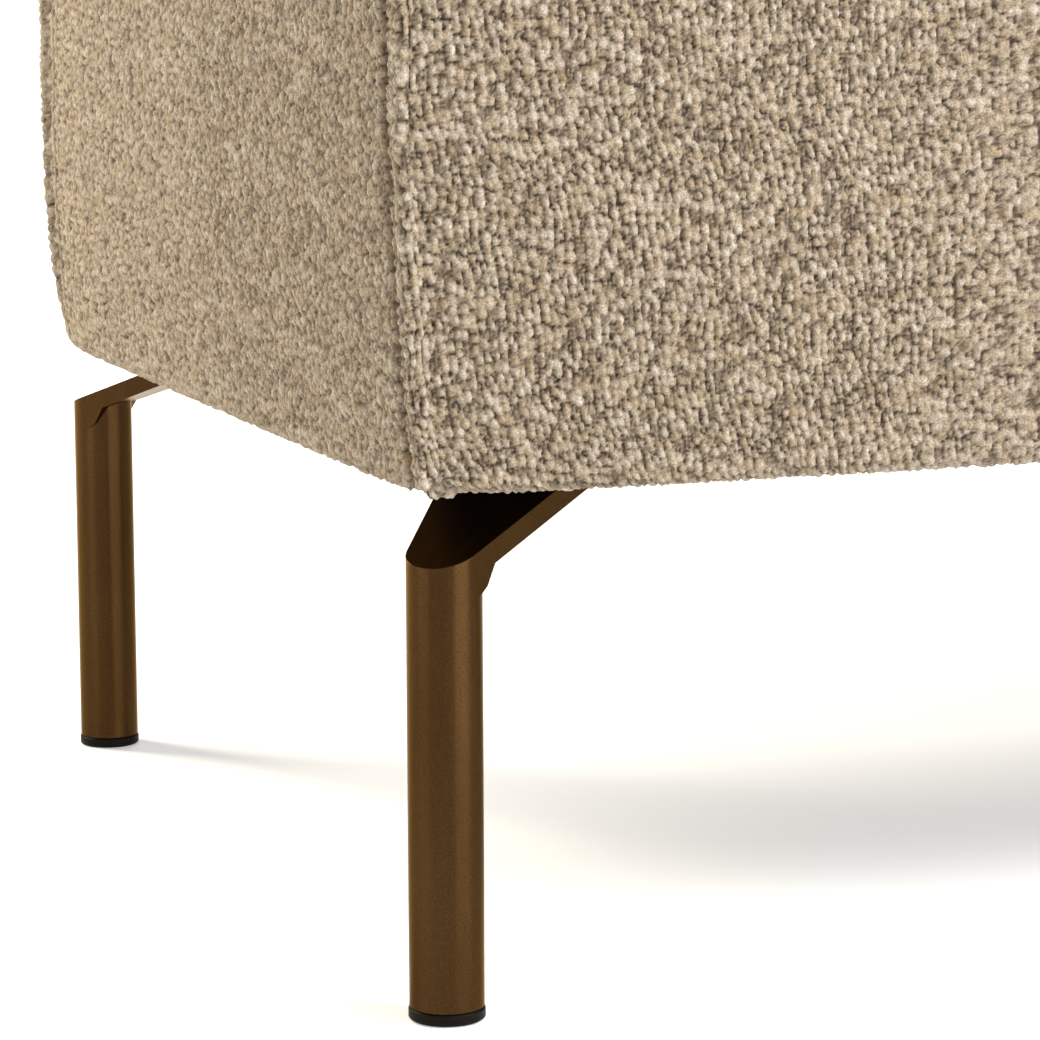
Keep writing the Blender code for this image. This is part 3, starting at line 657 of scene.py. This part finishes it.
# %% Pressure simulation
SIM_SPACING = 12 * MM
SIM_FRAMES = 20
PRESSURE = 4.0


def cloth_settings(soft):
    """Light cloth, held by its group, that only the pressure inside moves."""
    settings = soft.modifiers.new("cloth", "CLOTH").settings
    settings.use_pressure = True
    settings.uniform_pressure_force = PRESSURE
    settings.effector_weights.gravity = 0.0
    settings.vertex_group_mass = "held"
    settings.tension_stiffness = settings.compression_stiffness = 30.0
    settings.bending_stiffness = 2.0


def swell(patches, held, caps):
    """Blow up patches of cloth, each an array of points (rows, columns, 3); how far their points moved.

    The foam inside stops each patch from swelling further than its cap.
    """
    bm = bmesh.new()
    for patch in patches:
        rows, columns = patch.shape[:2]
        made = bmesh.ops.create_grid(bm, x_segments=columns - 1, y_segments=rows - 1, size=1.0)["verts"]
        for vertex, point in zip(made, patch.reshape(-1, 3)):
            vertex.co = point
    soft = add_object("swelling", to_mesh(bm, "swelling"))
    rest = np.array([vertex.co for vertex in soft.data.vertices])
    group = soft.vertex_groups.new(name="held")
    group.add([number for number, point in enumerate(rest) if held(point)], 1.0, "REPLACE")
    cloth_settings(soft)
    for number in range(1, SIM_FRAMES + 1):
        bpy.context.scene.frame_set(number)
    blown = soft.evaluated_get(bpy.context.evaluated_depsgraph_get()).data
    moved = np.array([vertex.co for vertex in blown.vertices]) - rest
    print("the free cloth moves by up to", round(float(np.abs(moved).max()) / MM, 1), "mm")
    bpy.context.scene.frame_set(1)
    bpy.data.objects.remove(soft)
    fields, start = [], 0
    for patch, cap in zip(patches, caps):
        count = patch.shape[0] * patch.shape[1]
        field = moved[start:start + count].reshape(patch.shape)
        start += count
        length = np.linalg.norm(field, axis=-1, keepdims=True)
        fields.append(field * cap * np.tanh(length / cap) / np.maximum(length, 1e-9))
    return fields


def smooth_field(a_values, b_values, field, wrap):
    """A smooth surface through evenly spaced values, by cubic B-splines in both directions."""
    def taps(values, steps):
        place = (values - steps[0]) / (steps[1] - steps[0])
        cell = np.floor(place)
        f = place - cell
        weights = ((1 - f) ** 3, 3 * f ** 3 - 6 * f ** 2 + 4, 3 * (f + f * f - f ** 3) + 1, f ** 3)
        return cell.astype(int), [weight / 6 for weight in weights]

    def at(a, b):
        column, across = taps(a, a_values)
        row, up = taps(b, b_values)
        total = 0.0
        for i, weight_a in enumerate(across):
            spot = column + i - 1
            spot = np.mod(spot, len(a_values) - 1) if wrap else np.clip(spot, 0, len(a_values) - 1)
            for j, weight_b in enumerate(up):
                line = np.clip(row + j - 1, 0, len(b_values) - 1)
                total = total + field[line, spot] * (weight_a * weight_b)[..., None]
        return total
    return at


# %% The lid's shape at rest
LID_LOW, LID_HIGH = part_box("lid_cover")
LID_PLAN = Plan(12 * MM)
LID_SEAM_IN = 3.0 * MM
LID_SEAM_HEIGHT = LID_HIGH.z - 6.5 * MM
LID_FACE_IN = 1.8 * MM
LID_TOP_CAP = 14 * MM
LID_BORDER_CAP = 1.6 * MM
LID_FOOT = 5 * MM
LID_TURN_UNDER = 30.6 * MM
LID_GROOVE = (2.0 * MM, 1.7 * MM)             # of the four upright seams: depth and width
TOP_GROOVE = (1.2 * MM, 1.6 * MM)             # of the seam round the top


def lid_path():
    """(inward, height) from under the lid, up the border and into the seam below the top panel."""
    low = LID_LOW.z + 1.3 * MM
    foot_in = LID_FACE_IN + LID_FOOT
    path = [(LID_TURN_UNDER, low), (foot_in + 2 * MM, low)]
    path += arc_points((foot_in, low + LID_FOOT), LID_FOOT, -90, -180)
    path.append((LID_SEAM_IN, LID_SEAM_HEIGHT))
    return path


LID_AT, LID_LENGTH = path_of(lid_path())


def lid_border_rest(s, t):
    inward, height = LID_AT(t)
    x, y = LID_PLAN.at(s, inward)
    return np.stack((x, y, height), axis=-1)


TOP_X, TOP_Y = HALF_X - LID_SEAM_IN, HALF_Y - LID_SEAM_IN
TOP_CORNER = LID_PLAN.corner - LID_SEAM_IN


def drawn_in(a, b, half_a, half_b):
    """One coordinate of a square corner's points, drawn in by how far along the other one they are."""
    past_a = np.clip((np.abs(a) - (half_a - TOP_CORNER)) / TOP_CORNER, 0.0, None)
    past_b = np.clip((np.abs(b) - (half_b - TOP_CORNER)) / TOP_CORNER, 0.0, 1.0)
    return np.sign(a) * (np.abs(a) - TOP_CORNER * past_a * (1 - np.sqrt(1 - past_b ** 2 / 2)))


def lid_top_rest(a, b):
    """A flat panel whose four square corners are drawn in to the outline's rounding."""
    x, y = drawn_in(a, b, TOP_X, TOP_Y), drawn_in(b, a, TOP_Y, TOP_X)
    return np.stack((x, y, np.full_like(x, LID_SEAM_HEIGHT)), axis=-1)


def even(start, end, spacing):
    return np.linspace(start, end, int(round((end - start) / spacing)) + 1)


RING = even(0.0, LID_PLAN.round, SIM_SPACING)
RISE = even(0.0, LID_LENGTH, 9 * MM)
TOP_A, TOP_B = even(-TOP_X, TOP_X, SIM_SPACING), even(-TOP_Y, TOP_Y, SIM_SPACING)


def sewn_or_stapled(point):
    """The border is held where it turns under the board, and both patches along the seam."""
    inward = min(HALF_X - abs(point[0]), HALF_Y - abs(point[1]))
    at_seam = point[2] > LID_SEAM_HEIGHT - MM and inward < LID_SEAM_IN + MM
    return at_seam or point[2] < LID_LOW.z + 9 * MM


border_moved, top_moved = swell(
    [lid_border_rest(*np.meshgrid(RING, RISE)), lid_top_rest(*np.meshgrid(TOP_A, TOP_B))],
    sewn_or_stapled, (LID_BORDER_CAP, LID_TOP_CAP))

# %% The lid's fine panels
BORDER_SWELL = smooth_field(RING, RISE, border_moved, wrap=True)
TOP_SWELL = smooth_field(TOP_A, TOP_B, top_moved, wrap=False)
LID_SEAMS = [LID_PLAN.edges[part] + way * SEAM_OFFSET
             for part, way in ((2, 1), (3, -1), (6, 1), (7, -1))]


def lid_border():
    start = LID_SEAMS[2]

    def surface(s, t):
        return lid_border_rest(s, t) + BORDER_SWELL(np.mod(s, LID_PLAN.round), t)

    def relief(s, t):
        to_seam = LID_PLAN.away(s, LID_SEAMS)
        to_end = np.minimum(t, LID_LENGTH - t)
        # the sunken loops by the seams are painted darker: painted shade in the seams' grooves
        share = rise(to_seam, 2.6 * MM, least=0.1) * rise(to_end, 2.5 * MM, least=0.2)
        return share, dip(to_seam, *LID_GROOVE) + dip(LID_LENGTH - t, *TOP_GROOVE)

    def pattern(s, t):
        """Each panel of the border was cut from another place of the cloth."""
        panel = sum((np.mod(s - start, LID_PLAN.round) > np.mod(seam - start, LID_PLAN.round)) * 1.0
                    for seam in LID_SEAMS)
        return s + 0.0137 * panel, t + 0.0213 * panel

    turns = [LID_PLAN.edges[part] + share * LID_PLAN.arc for part in (1, 3, 5, 7)
             for share in (0.0, 0.2, 0.4, 0.6, 0.8, 1.0)]
    turns = [start + float(np.mod(turn - start, LID_PLAN.round)) for turn in turns]
    s_values = even(start, start + LID_PLAN.round, 1.75 * MM)
    s_breaks = [s_values[0], *turns, s_values[-1]]
    mesh = cloth_mesh("lid_border_boucle", surface, s_values, even(0.0, LID_LENGTH, 1.5 * MM),
                      s_breaks, even(0.0, LID_LENGTH, 7 * MM), pattern, 71, relief)
    return show("lid_border_boucle", mesh, "lid", BOUCLE)


def lid_top():
    def surface(a, b):
        return lid_top_rest(a, b) + TOP_SWELL(a, b)

    def relief(a, b):
        to_seam = np.minimum(TOP_X - np.abs(a), TOP_Y - np.abs(b))
        # the sunken loops by the seam are painted darker: painted shade in the seam's groove
        return rise(to_seam, 2.5 * MM, least=0.2), dip(to_seam, *TOP_GROOVE)

    values, breaks = ([even(-half, half, spacing) for half in (TOP_X, TOP_Y)]
                      for spacing in (1.7 * MM, 14 * MM))
    mesh = cloth_mesh("lid_top_boucle", surface, *values, *breaks, lambda a, b: (a, b), 89, relief)
    return show("lid_top_boucle", mesh, "lid", BOUCLE)


for cushion in (lid_border(), lid_top()):
    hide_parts("lid_cover")

# %% [markdown]
# ## Hard parts with eased edges
# Cast, cut and moulded parts have no knife edges: a small rounding catches the light along each edge.
# Each hard piece is a copy of its CAD node with its triangles merged into whole faces and its sharp
# edges bevelled. A weighted normal modifier keeps the flat faces flat beside the roundings.

# %% Eased copies of CAD nodes
SLOTS = {row["node"]: row["material_slot"] for row in frame["record"]["subparts"]}
FLAT_WITHIN = math.radians(0.6)   # triangles that turn by less than this are one flat face


def eased_copy(node, width, material, segments=3, sharp=30.0, pressed=(0.0, 0.0), weld=1e-6):
    """Replace a CAD node with a merged copy whose sharp edges are rounded.

    pressed is how far its sides and its top are pressed in by what lies over them. Points closer than
    weld become one, because the shortest edge limits how wide the rounding can be.
    """
    source = frame["nodes"][node]
    low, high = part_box(node)
    bm = bmesh.new()
    bm.from_mesh(source.data)
    squeeze = Vector((2 * pressed[0], 2 * pressed[0], pressed[1]))
    scale = [1 - squeeze[axis] / (high[axis] - low[axis]) for axis in range(3)]
    centre = Vector(((low.x + high.x) / 2, (low.y + high.y) / 2, low.z))
    bmesh.ops.scale(bm, vec=scale, space=Matrix.Translation(-centre), verts=bm.verts)
    bmesh.ops.remove_doubles(bm, verts=bm.verts, dist=weld)
    bmesh.ops.dissolve_limit(bm, angle_limit=FLAT_WITHIN, verts=bm.verts, edges=bm.edges)
    least = math.radians(sharp)
    edges = [edge for edge in bm.edges if edge.is_manifold and edge.calc_face_angle() > least]
    bmesh.ops.bevel(bm, geom=edges, offset=width, offset_type="OFFSET", segments=segments, profile=0.5,
                    affect="EDGES", clamp_overlap=True, material=-1)
    mesh = to_mesh(bm, node + "_eased")
    mesh.shade_smooth()
    made = show(node + "_eased", mesh, source["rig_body"], material)
    made.modifiers.new("flat_faces", "WEIGHTED_NORMAL").keep_sharp = False
    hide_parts(node)
    return made


# %% [markdown]
# ### Bronze paint and moulded glides
# The legs are cast metal under a satin bronze lacquer with fine metal flake. It reflects in its own
# brown, stretched along the column, and a trace of clear coat whitens the highlight a little. The
# flake is drawn at 0.3 mm, a little coarser than real, so that it shows as a fine shimmer. The glides
# are moulded nylon. One function makes every plain material below: a fine pattern varies the
# colour and the relief, and where it is asked for the gloss too.

# %% Legs and glides
FLAKE = 0.3 * MM


def bronze_material():
    made, tree, shader = new_material("satin_bronze_lacquer", {
        "Metallic": 1.0, "Anisotropic": 0.7, "Specular Tint": srgb("#dccdbc"), "Coat Weight": 0.03,
        "Coat Roughness": 0.25})
    upright = add_node(tree, "CombineXYZ", {"Z": 1.0})
    place = add_node(tree, "TexCoord").outputs["Object"]
    flake = add_node(tree, "TexNoise", {"Vector": place, "Scale": 1 / FLAKE, "Detail": 2.0})
    broad = add_node(tree, "Mapping", {"Vector": place, "Scale": (60.0, 60.0, 18.0)})
    cloud = add_node(tree, "TexNoise", {"Vector": broad, "Scale": 1.0, "Detail": 3.0})
    base = add_node(tree, "ValToRGB", {"Fac": flake}, stops=(
        (0.3, "#342411"), (0.5, "#422f18"), (0.72, "#553c22")))
    tint = add_node(tree, "ValToRGB", {"Fac": cloud}, stops=((0.3, "#e8e2dc"), (0.7, "#ffffff")))
    colour = add_node(tree, "Mix", {0: 1.0, 6: base, 7: tint}, **MULTIPLY)
    rough = add_node(tree, "MapRange", {"Value": cloud, "To Min": 0.26, "To Max": 0.32})
    normal = add_node(tree, "Bump", {"Height": flake, "Distance": 0.04 * MM, "Strength": 0.5})
    connect(tree, shader, {"Tangent": upright, "Base Color": colour.outputs[2], "Roughness": rough,
                           "Normal": normal})
    return made


def plain_material(name, values, size, stops, bump, texture="TexNoise", detail=3.0, gloss=None):
    """A material whose fine pattern, of that size, varies its colour, its relief and its gloss."""
    made, tree, shader = new_material(name, values)
    place = add_node(tree, "TexCoord").outputs["Object"]
    pattern = add_node(tree, texture, {"Vector": place, "Scale": 1 / size, "Detail": detail})
    colour = add_node(tree, "ValToRGB", {"Fac": pattern}, stops=stops)
    normal = add_node(tree, "Bump", {"Height": pattern, "Distance": bump[0], "Strength": bump[1]})
    connect(tree, shader, {"Base Color": colour, "Normal": normal})
    if gloss:
        rough = add_node(tree, "MapRange", {"Value": pattern, "To Min": gloss[0], "To Max": gloss[1]})
        connect(tree, shader, {"Roughness": rough})
    return made


BRONZE = bronze_material()
# Nylon and rubber: a dull, slightly mottled black, with the fine grain of the mould.
MOULDED = {"IOR": 1.46, "Specular IOR Level": 0.08}
MOULD_GRAIN = (0.06 * MM, 0.6)
BLACK_NYLON = plain_material("black_nylon", {"Roughness": 0.5, **MOULDED}, 0.6 * MM,
                             ((0.3, "#0d0906"), (0.7, "#17110c")), MOULD_GRAIN)
RUBBER = plain_material("black_rubber", {"Roughness": 0.8, **MOULDED}, 0.9 * MM,
                        ((0.3, "#161514"), (0.7, "#242220")), MOULD_GRAIN)
CORNERS = ("front_left", "front_right", "back_right", "back_left")
for corner in CORNERS:
    eased_copy(f"leg_{corner}", 0.6 * MM, BRONZE, weld=0.5 * MM)
    eased_copy(f"foot_glide_{corner}", 0.9 * MM, BLACK_NYLON)

# %% [markdown]
# ## Hardware
# Butt hinges and brackets are zinc-plated steel: a cool grey with faint cloudy patches from the
# plating bath. The strut's tube is black enamel and its rod is hard chrome, almost a mirror.

# %% Metal materials
PLATED, SMOOTH = {"Metallic": 1.0}, (0.02 * MM, 0.3)
ZINC = plain_material("zinc_plated_steel", PLATED, 2.5 * MM, ((0.3, "#a9acb0"), (0.7, "#c9cbcc")),
                      SMOOTH, detail=4.0, gloss=(0.28, 0.42))
CHROME = plain_material("hard_chrome", PLATED, 4 * MM, ((0.3, "#d2d4d6"), (0.7, "#dedfe0")),
                        SMOOTH, detail=4.0, gloss=(0.06, 0.12))
ENAMEL = plain_material("black_enamel", {}, 1.5 * MM, ((0.3, "#101010"), (0.7, "#191919")),
                        SMOOTH, detail=4.0, gloss=(0.22, 0.34))

# %% Hinges, brackets and struts
for hand in ("left", "right"):
    for piece in ("hinge_box_leaf", "hinge_lid_leaf", "strut_box_bracket", "strut_lid_bracket"):
        eased_copy(f"{piece}_{hand}", 0.25 * MM, ZINC, segments=2)
    eased_copy(f"hinge_pin_{hand}", 0.4 * MM, ZINC)
    eased_copy(f"strut_cylinder_{hand}", 1.2 * MM, ENAMEL, sharp=50.0)
    eased_copy(f"strut_rod_{hand}", 0.3 * MM, CHROME)
    for end in ("lower", "upper"):
        eased_copy(f"strut_{end}_socket_{hand}", 0.7 * MM, BLACK_NYLON)
    eased_copy(f"bumper_{hand}", 1.0 * MM, RUBBER)

# %% [markdown]
# ## Board, foam and lining
# The walls and the lid board are birch plywood, with its grain along X. The foam is pale open-celled
# polyurethane, pitted like a sponge. The lining is non-woven polypropylene, a soft black cloth bonded
# with a fine grid of dots.

# %% Materials inside
PLY_WAVE = 0.48 * MM
DOT_SPACING, CLOUD_SIZE = 1.6 * MM, 9 * MM


def plywood_material():
    """Pale wood with long brown fibres, and the plies as faint bands on its edges."""
    made, tree, shader = new_material("birch_plywood", {"Roughness": 0.62})
    place = add_node(tree, "TexCoord").outputs["Object"]
    along = add_node(tree, "Mapping", {"Vector": place, "Scale": (7.0, 260.0, 260.0)})
    grain = add_node(tree, "TexNoise", {"Vector": along, "Scale": 1.0, "Detail": 5.0, "Distortion": 0.6})
    upward = add_node(tree, "Mapping", {"Vector": place, "Scale": (0.0, 0.0, 1.0)})
    plies = add_node(tree, "TexWave", {"Vector": upward, "Scale": 1 / (2 * math.pi * PLY_WAVE)},
                     bands_direction="Z").outputs["Fac"]
    colour = add_node(tree, "ValToRGB", {"Fac": grain}, stops=(
        (0.3, "#b08a5a"), (0.5, "#cfae7f"), (0.7, "#dcc294")))
    layered = add_node(tree, "Mix", {0: 0.12, 6: colour, 7: plies}, **MULTIPLY).outputs[2]
    normal = add_node(tree, "Bump", {"Height": grain, "Distance": 0.15 * MM, "Strength": 0.4})
    connect(tree, shader, {"Base Color": layered, "Normal": normal})
    return made


def lining_material():
    """A dull black cloth with a soft bloom: cloudy where fibres gather, and dimpled by its dots."""
    made, tree, shader = new_material("polypropylene_nonwoven", {
        "Roughness": 0.88, "Sheen Weight": 0.2, "Sheen Roughness": 0.5})
    place = add_node(tree, "TexCoord").outputs["Object"]
    dots = add_node(tree, "TexVoronoi", {"Vector": place, "Scale": 1 / DOT_SPACING, "Randomness": 0.15})
    cloud = add_node(tree, "TexNoise", {"Vector": place, "Scale": 1 / CLOUD_SIZE, "Detail": 5.0,
                                        "Roughness": 0.7})
    colour = add_node(tree, "ValToRGB", {"Fac": cloud}, stops=(
        (0.3, "#1c1b1a"), (0.55, "#272523"), (0.75, "#33302e")))
    normal = add_node(tree, "Bump", {"Height": dots, "Distance": 0.25 * MM, "Strength": 0.7})
    connect(tree, shader, {"Base Color": colour, "Normal": normal})
    return made


PLYWOOD, NONWOVEN = plywood_material(), lining_material()
FOAM = plain_material("polyurethane_foam", {"Roughness": 0.95}, 1.2 * MM,
                      ((0.1, "#cfc39c"), (0.6, "#e9e0c2")), (0.6 * MM, 0.8), "TexVoronoi", detail=0.0)

# %% [markdown]
# ### Foam and boards
# The foam is cut from slab, so its edges are soft but square. It is hidden by the covers, and shows
# only in a cut-away. The boards keep their sawn edges.

# %% Foam and boards
for node, slot in SLOTS.items():
    if slot == "plywood":
        eased_copy(node, 0.4 * MM, PLYWOOD, segments=1)
    elif node == "lid_foam":
        eased_copy(node, 9 * MM, FOAM, pressed=(2.5 * MM, 6.5 * MM))
    elif slot == "foam":
        eased_copy(node, 1.2 * MM, FOAM, pressed=(2.2 * MM, 2.0 * MM))

# %% [markdown]
# ### The lining
# The lining is cut a little loose and stapled, so it has shallow folds that run down from the staples
# and fade. Each sheet is a grid in the plane of its CAD node, pushed only away from the wood behind it,
# and a solidify modifier gives it its thickness.

# %% Lining sheets
SHEET_SPACING = 7 * MM
FOLD_SPACING = 58 * MM
LINING = 0.8 * MM


def lining_sheet(node, depth, towards):
    """A sheet in place of a thin CAD node; depth is its folds' height and towards the open side."""
    low, high = (np.array(corner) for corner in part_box(node))
    thin = int(np.argmin(high - low))
    across, up = [axis for axis in (0, 1, 2) if axis != thin]
    size = (high - low)[[across, up]]
    bm = bmesh.new()
    counts = [max(2, int(round(length / SHEET_SPACING))) for length in size]
    bmesh.ops.create_grid(bm, x_segments=counts[0], y_segments=counts[1], size=0.5)
    for vertex in bm.verts:
        p, q = vertex.co.x + 0.5, vertex.co.y + 0.5
        s, t = p * size[0], q * size[1]
        rim = min(1.0, 8 * min(p, 1 - p)) * min(1.0, 10 * min(q, 1 - q) + 0.15)
        fold = 0.5 + 0.5 * math.sin(2 * math.pi * s / FOLD_SPACING + 1.3 * math.sin(t / (45 * MM)))
        drift = 0.5 + 0.5 * math.sin(s / (97 * MM) + t / (61 * MM) + len(node))
        place = np.zeros(3)
        place[across], place[up] = low[across] + s, low[up] + t
        base = high[thin] if towards > 0 else low[thin]
        place[thin] = base + towards * depth * rim * (0.55 * fold * (0.4 + 0.6 * q) + 0.45 * drift)
        vertex.co = place
    bmesh.ops.recalc_face_normals(bm, faces=bm.faces)
    if sum(face.normal[thin] for face in bm.faces) * towards < 0:
        bmesh.ops.reverse_faces(bm, faces=bm.faces)
    mesh = to_mesh(bm, node + "_cloth")
    mesh.shade_smooth()
    made = show(node + "_cloth", mesh, frame["nodes"][node]["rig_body"], NONWOVEN)
    thickness = made.modifiers.new("thickness", "SOLIDIFY")
    thickness.thickness = min(LINING, float(high[thin] - low[thin]))
    thickness.offset = -1.0
    made.modifiers.new("flat_faces", "WEIGHTED_NORMAL").keep_sharp = False
    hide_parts(node)
    print(made.name, counts, "cells")


for node, depth, towards in (("lining_front", 2.0, 1), ("lining_back", 2.0, -1), ("lining_left", 2.0, 1),
                             ("lining_right", 2.0, -1), ("lining_floor", 1.6, 1), ("lid_lining", 0.4, -1),
                             ("dust_cover", 0.5, -1)):
    lining_sheet(node, depth * MM, towards)

# %% [markdown]
# ## Screws and staples
# The fasteners are too small and too many to be parts of their own, but they show when the lid is open
# or the ottoman is turned over. Screw heads are low domes with a round socket: three in each hinge
# leaf, two in each bracket and three in each leg's pad. Staples of 11 mm hold the two flat cloths.

# %% Screw heads
SCREW_SIDES = 24
LEAF_FACE = 0.5 * MM              # from the pin's axis to the near face of each leaf
PAD_THICKNESS = 4 * MM
HINGE_SCREW, BOX_SCREW, LID_SCREW, LEG_SCREW = (      # radius and height of each kind of head
    (2.7 * MM, 0.3 * MM), (2.8 * MM, 0.7 * MM), (2.3 * MM, 0.7 * MM), (4.2 * MM, 1.6 * MM))
HANDS = (("left", -1), ("right", 1))


def add_screw(bm, place, direction, radius, height):
    """A domed head that stands on place and points in direction, with a round socket in it."""
    direction = Vector(direction)
    turn = direction.to_track_quat("Z", "Y").to_matrix().to_4x4()
    matrix = Matrix.Translation(Vector(place) + direction * height / 2) @ turn
    made = bmesh.ops.create_cone(bm, cap_ends=True, segments=SCREW_SIDES, radius1=radius,
                                 radius2=0.72 * radius, depth=height, matrix=matrix)["verts"]
    ends = {face for vertex in made for face in vertex.link_faces if len(face.verts) == SCREW_SIDES}
    cap = max(ends, key=lambda face: face.normal.dot(direction))
    bmesh.ops.inset_individual(bm, faces=[cap], thickness=0.32 * radius, depth=0.0)
    bmesh.ops.inset_individual(bm, faces=[cap], thickness=0.02 * radius, depth=-0.6 * height)


def fasteners(name, body, fill_in):
    """One piece with all the fasteners that fill_in(bm) makes on a body."""
    bm = bmesh.new()
    fill_in(bm)
    bmesh.ops.recalc_face_normals(bm, faces=bm.faces)
    mesh = to_mesh(bm, name)
    show(name, mesh, body, ZINC)
    print(name, len(mesh.vertices), "points")


def leaf_screws(bm, half, hand, up):
    """Three flat heads in a zigzag on the inner face of a hinge leaf."""
    leaf = f"hinge_{half}_leaf_{hand}"
    pin_low, pin_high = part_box(f"hinge_pin_{hand}")
    face = (pin_low.z + pin_high.z) / 2 - up * LEAF_FACE
    for across, inward in ((-17 * MM, 7 * MM), (0.0, 13 * MM), (17 * MM, 7 * MM)):
        place = (axis_of(leaf).x + across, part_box(leaf)[0].y + inward, face)
        add_screw(bm, place, (0, 0, up), *HINGE_SCREW)


def pad_screws(bm, corner):
    """Three heads under a leg's pad: two near its far end and one by the column."""
    axis = axis_of(f"foot_glide_{corner}")
    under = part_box(f"leg_{corner}")[1].z - PAD_THICKNESS
    pad = [vertex.co for vertex in frame["nodes"][f"leg_{corner}"].data.vertices
           if abs(vertex.co.z - under) < 0.05 * MM]
    reach = [(point - axis).to_2d().length for point in pad]
    start, end = min(reach) + 9 * MM, max(reach) - 16 * MM
    inward = Vector((-math.copysign(1, axis.x), -math.copysign(1, axis.y), 0.0)).normalized()
    across = Vector((-inward.y, inward.x, 0.0))
    for along, aside in ((end, -11 * MM), (end, 11 * MM), (start, 0.0)):
        place = Vector((axis.x, axis.y, under)) + inward * along + across * aside
        add_screw(bm, place, (0, 0, -1), *LEG_SCREW)


def box_screws(bm):
    for hand, side in HANDS:
        leaf_screws(bm, "box", hand, 1)
        low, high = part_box(f"strut_box_bracket_{hand}")
        plate = (high.x - 2 * MM) if side > 0 else (low.x + 2 * MM)
        for along in (-8 * MM, 8 * MM):
            place = (plate, (low.y + high.y) / 2 + along, high.z - 6 * MM)
            add_screw(bm, place, (-side, 0, 0), *BOX_SCREW)
    for corner in CORNERS:
        pad_screws(bm, corner)


def lid_screws(bm):
    for hand, side in HANDS:
        leaf_screws(bm, "lid", hand, -1)
        low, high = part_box(f"strut_lid_bracket_{hand}")
        edge = (low.x + 3.6 * MM) if side > 0 else (high.x - 3.6 * MM)
        for y in (low.y + 4 * MM, high.y - 4 * MM):
            add_screw(bm, (edge, y, high.z - 1.5 * MM), (0, 0, -1), *LID_SCREW)


fasteners("box_screws", "box", box_screws)
fasteners("lid_screws", "lid", lid_screws)

# %% Staples
STAPLE = (11 * MM, 1.1 * MM, 0.5 * MM)
END_GAP = 20 * MM


def staples(sheet, inset, spacing, taken):
    """Rows of staples along the four edges of a sheet's underside, but not where taken(spot) is true."""
    low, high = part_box(sheet)
    half = (high.x - inset, high.y - inset)
    z = low.z - 0.15 * MM

    def fill_in(bm):
        for axis in (0, 1):
            length = half[axis] - END_GAP
            count = int(2 * length / spacing)
            for number, way in itertools.product(range(count + 1), (-1, 1)):
                place = -length + number * 2 * length / count
                spot, size = Vector((0.0, 0.0, z)), Vector(STAPLE)
                spot[axis], spot[1 - axis] = place, way * half[1 - axis]
                size[axis], size[1 - axis] = STAPLE[:2]
                if not taken(spot):
                    turn = Matrix.Rotation(0.12 * math.sin(71.0 * place + way), 4, "Z")
                    matrix = Matrix.Translation(spot) @ turn @ Matrix.Diagonal((*size, 1.0))
                    bmesh.ops.create_cube(bm, size=1.0, matrix=matrix)
    return fill_in


def under_leg_pad(spot):
    return abs(spot.x) > 0.28 and abs(spot.y) > 0.13


def under_bracket(spot):
    return abs(spot.x) > 0.33 and spot.y > 0.16


fasteners("dust_cover_staples", "box", staples("dust_cover", 9 * MM, 42 * MM, under_leg_pad))
fasteners("lid_lining_staples", "lid", staples("lid_lining", 7 * MM, 38 * MM, under_bracket))
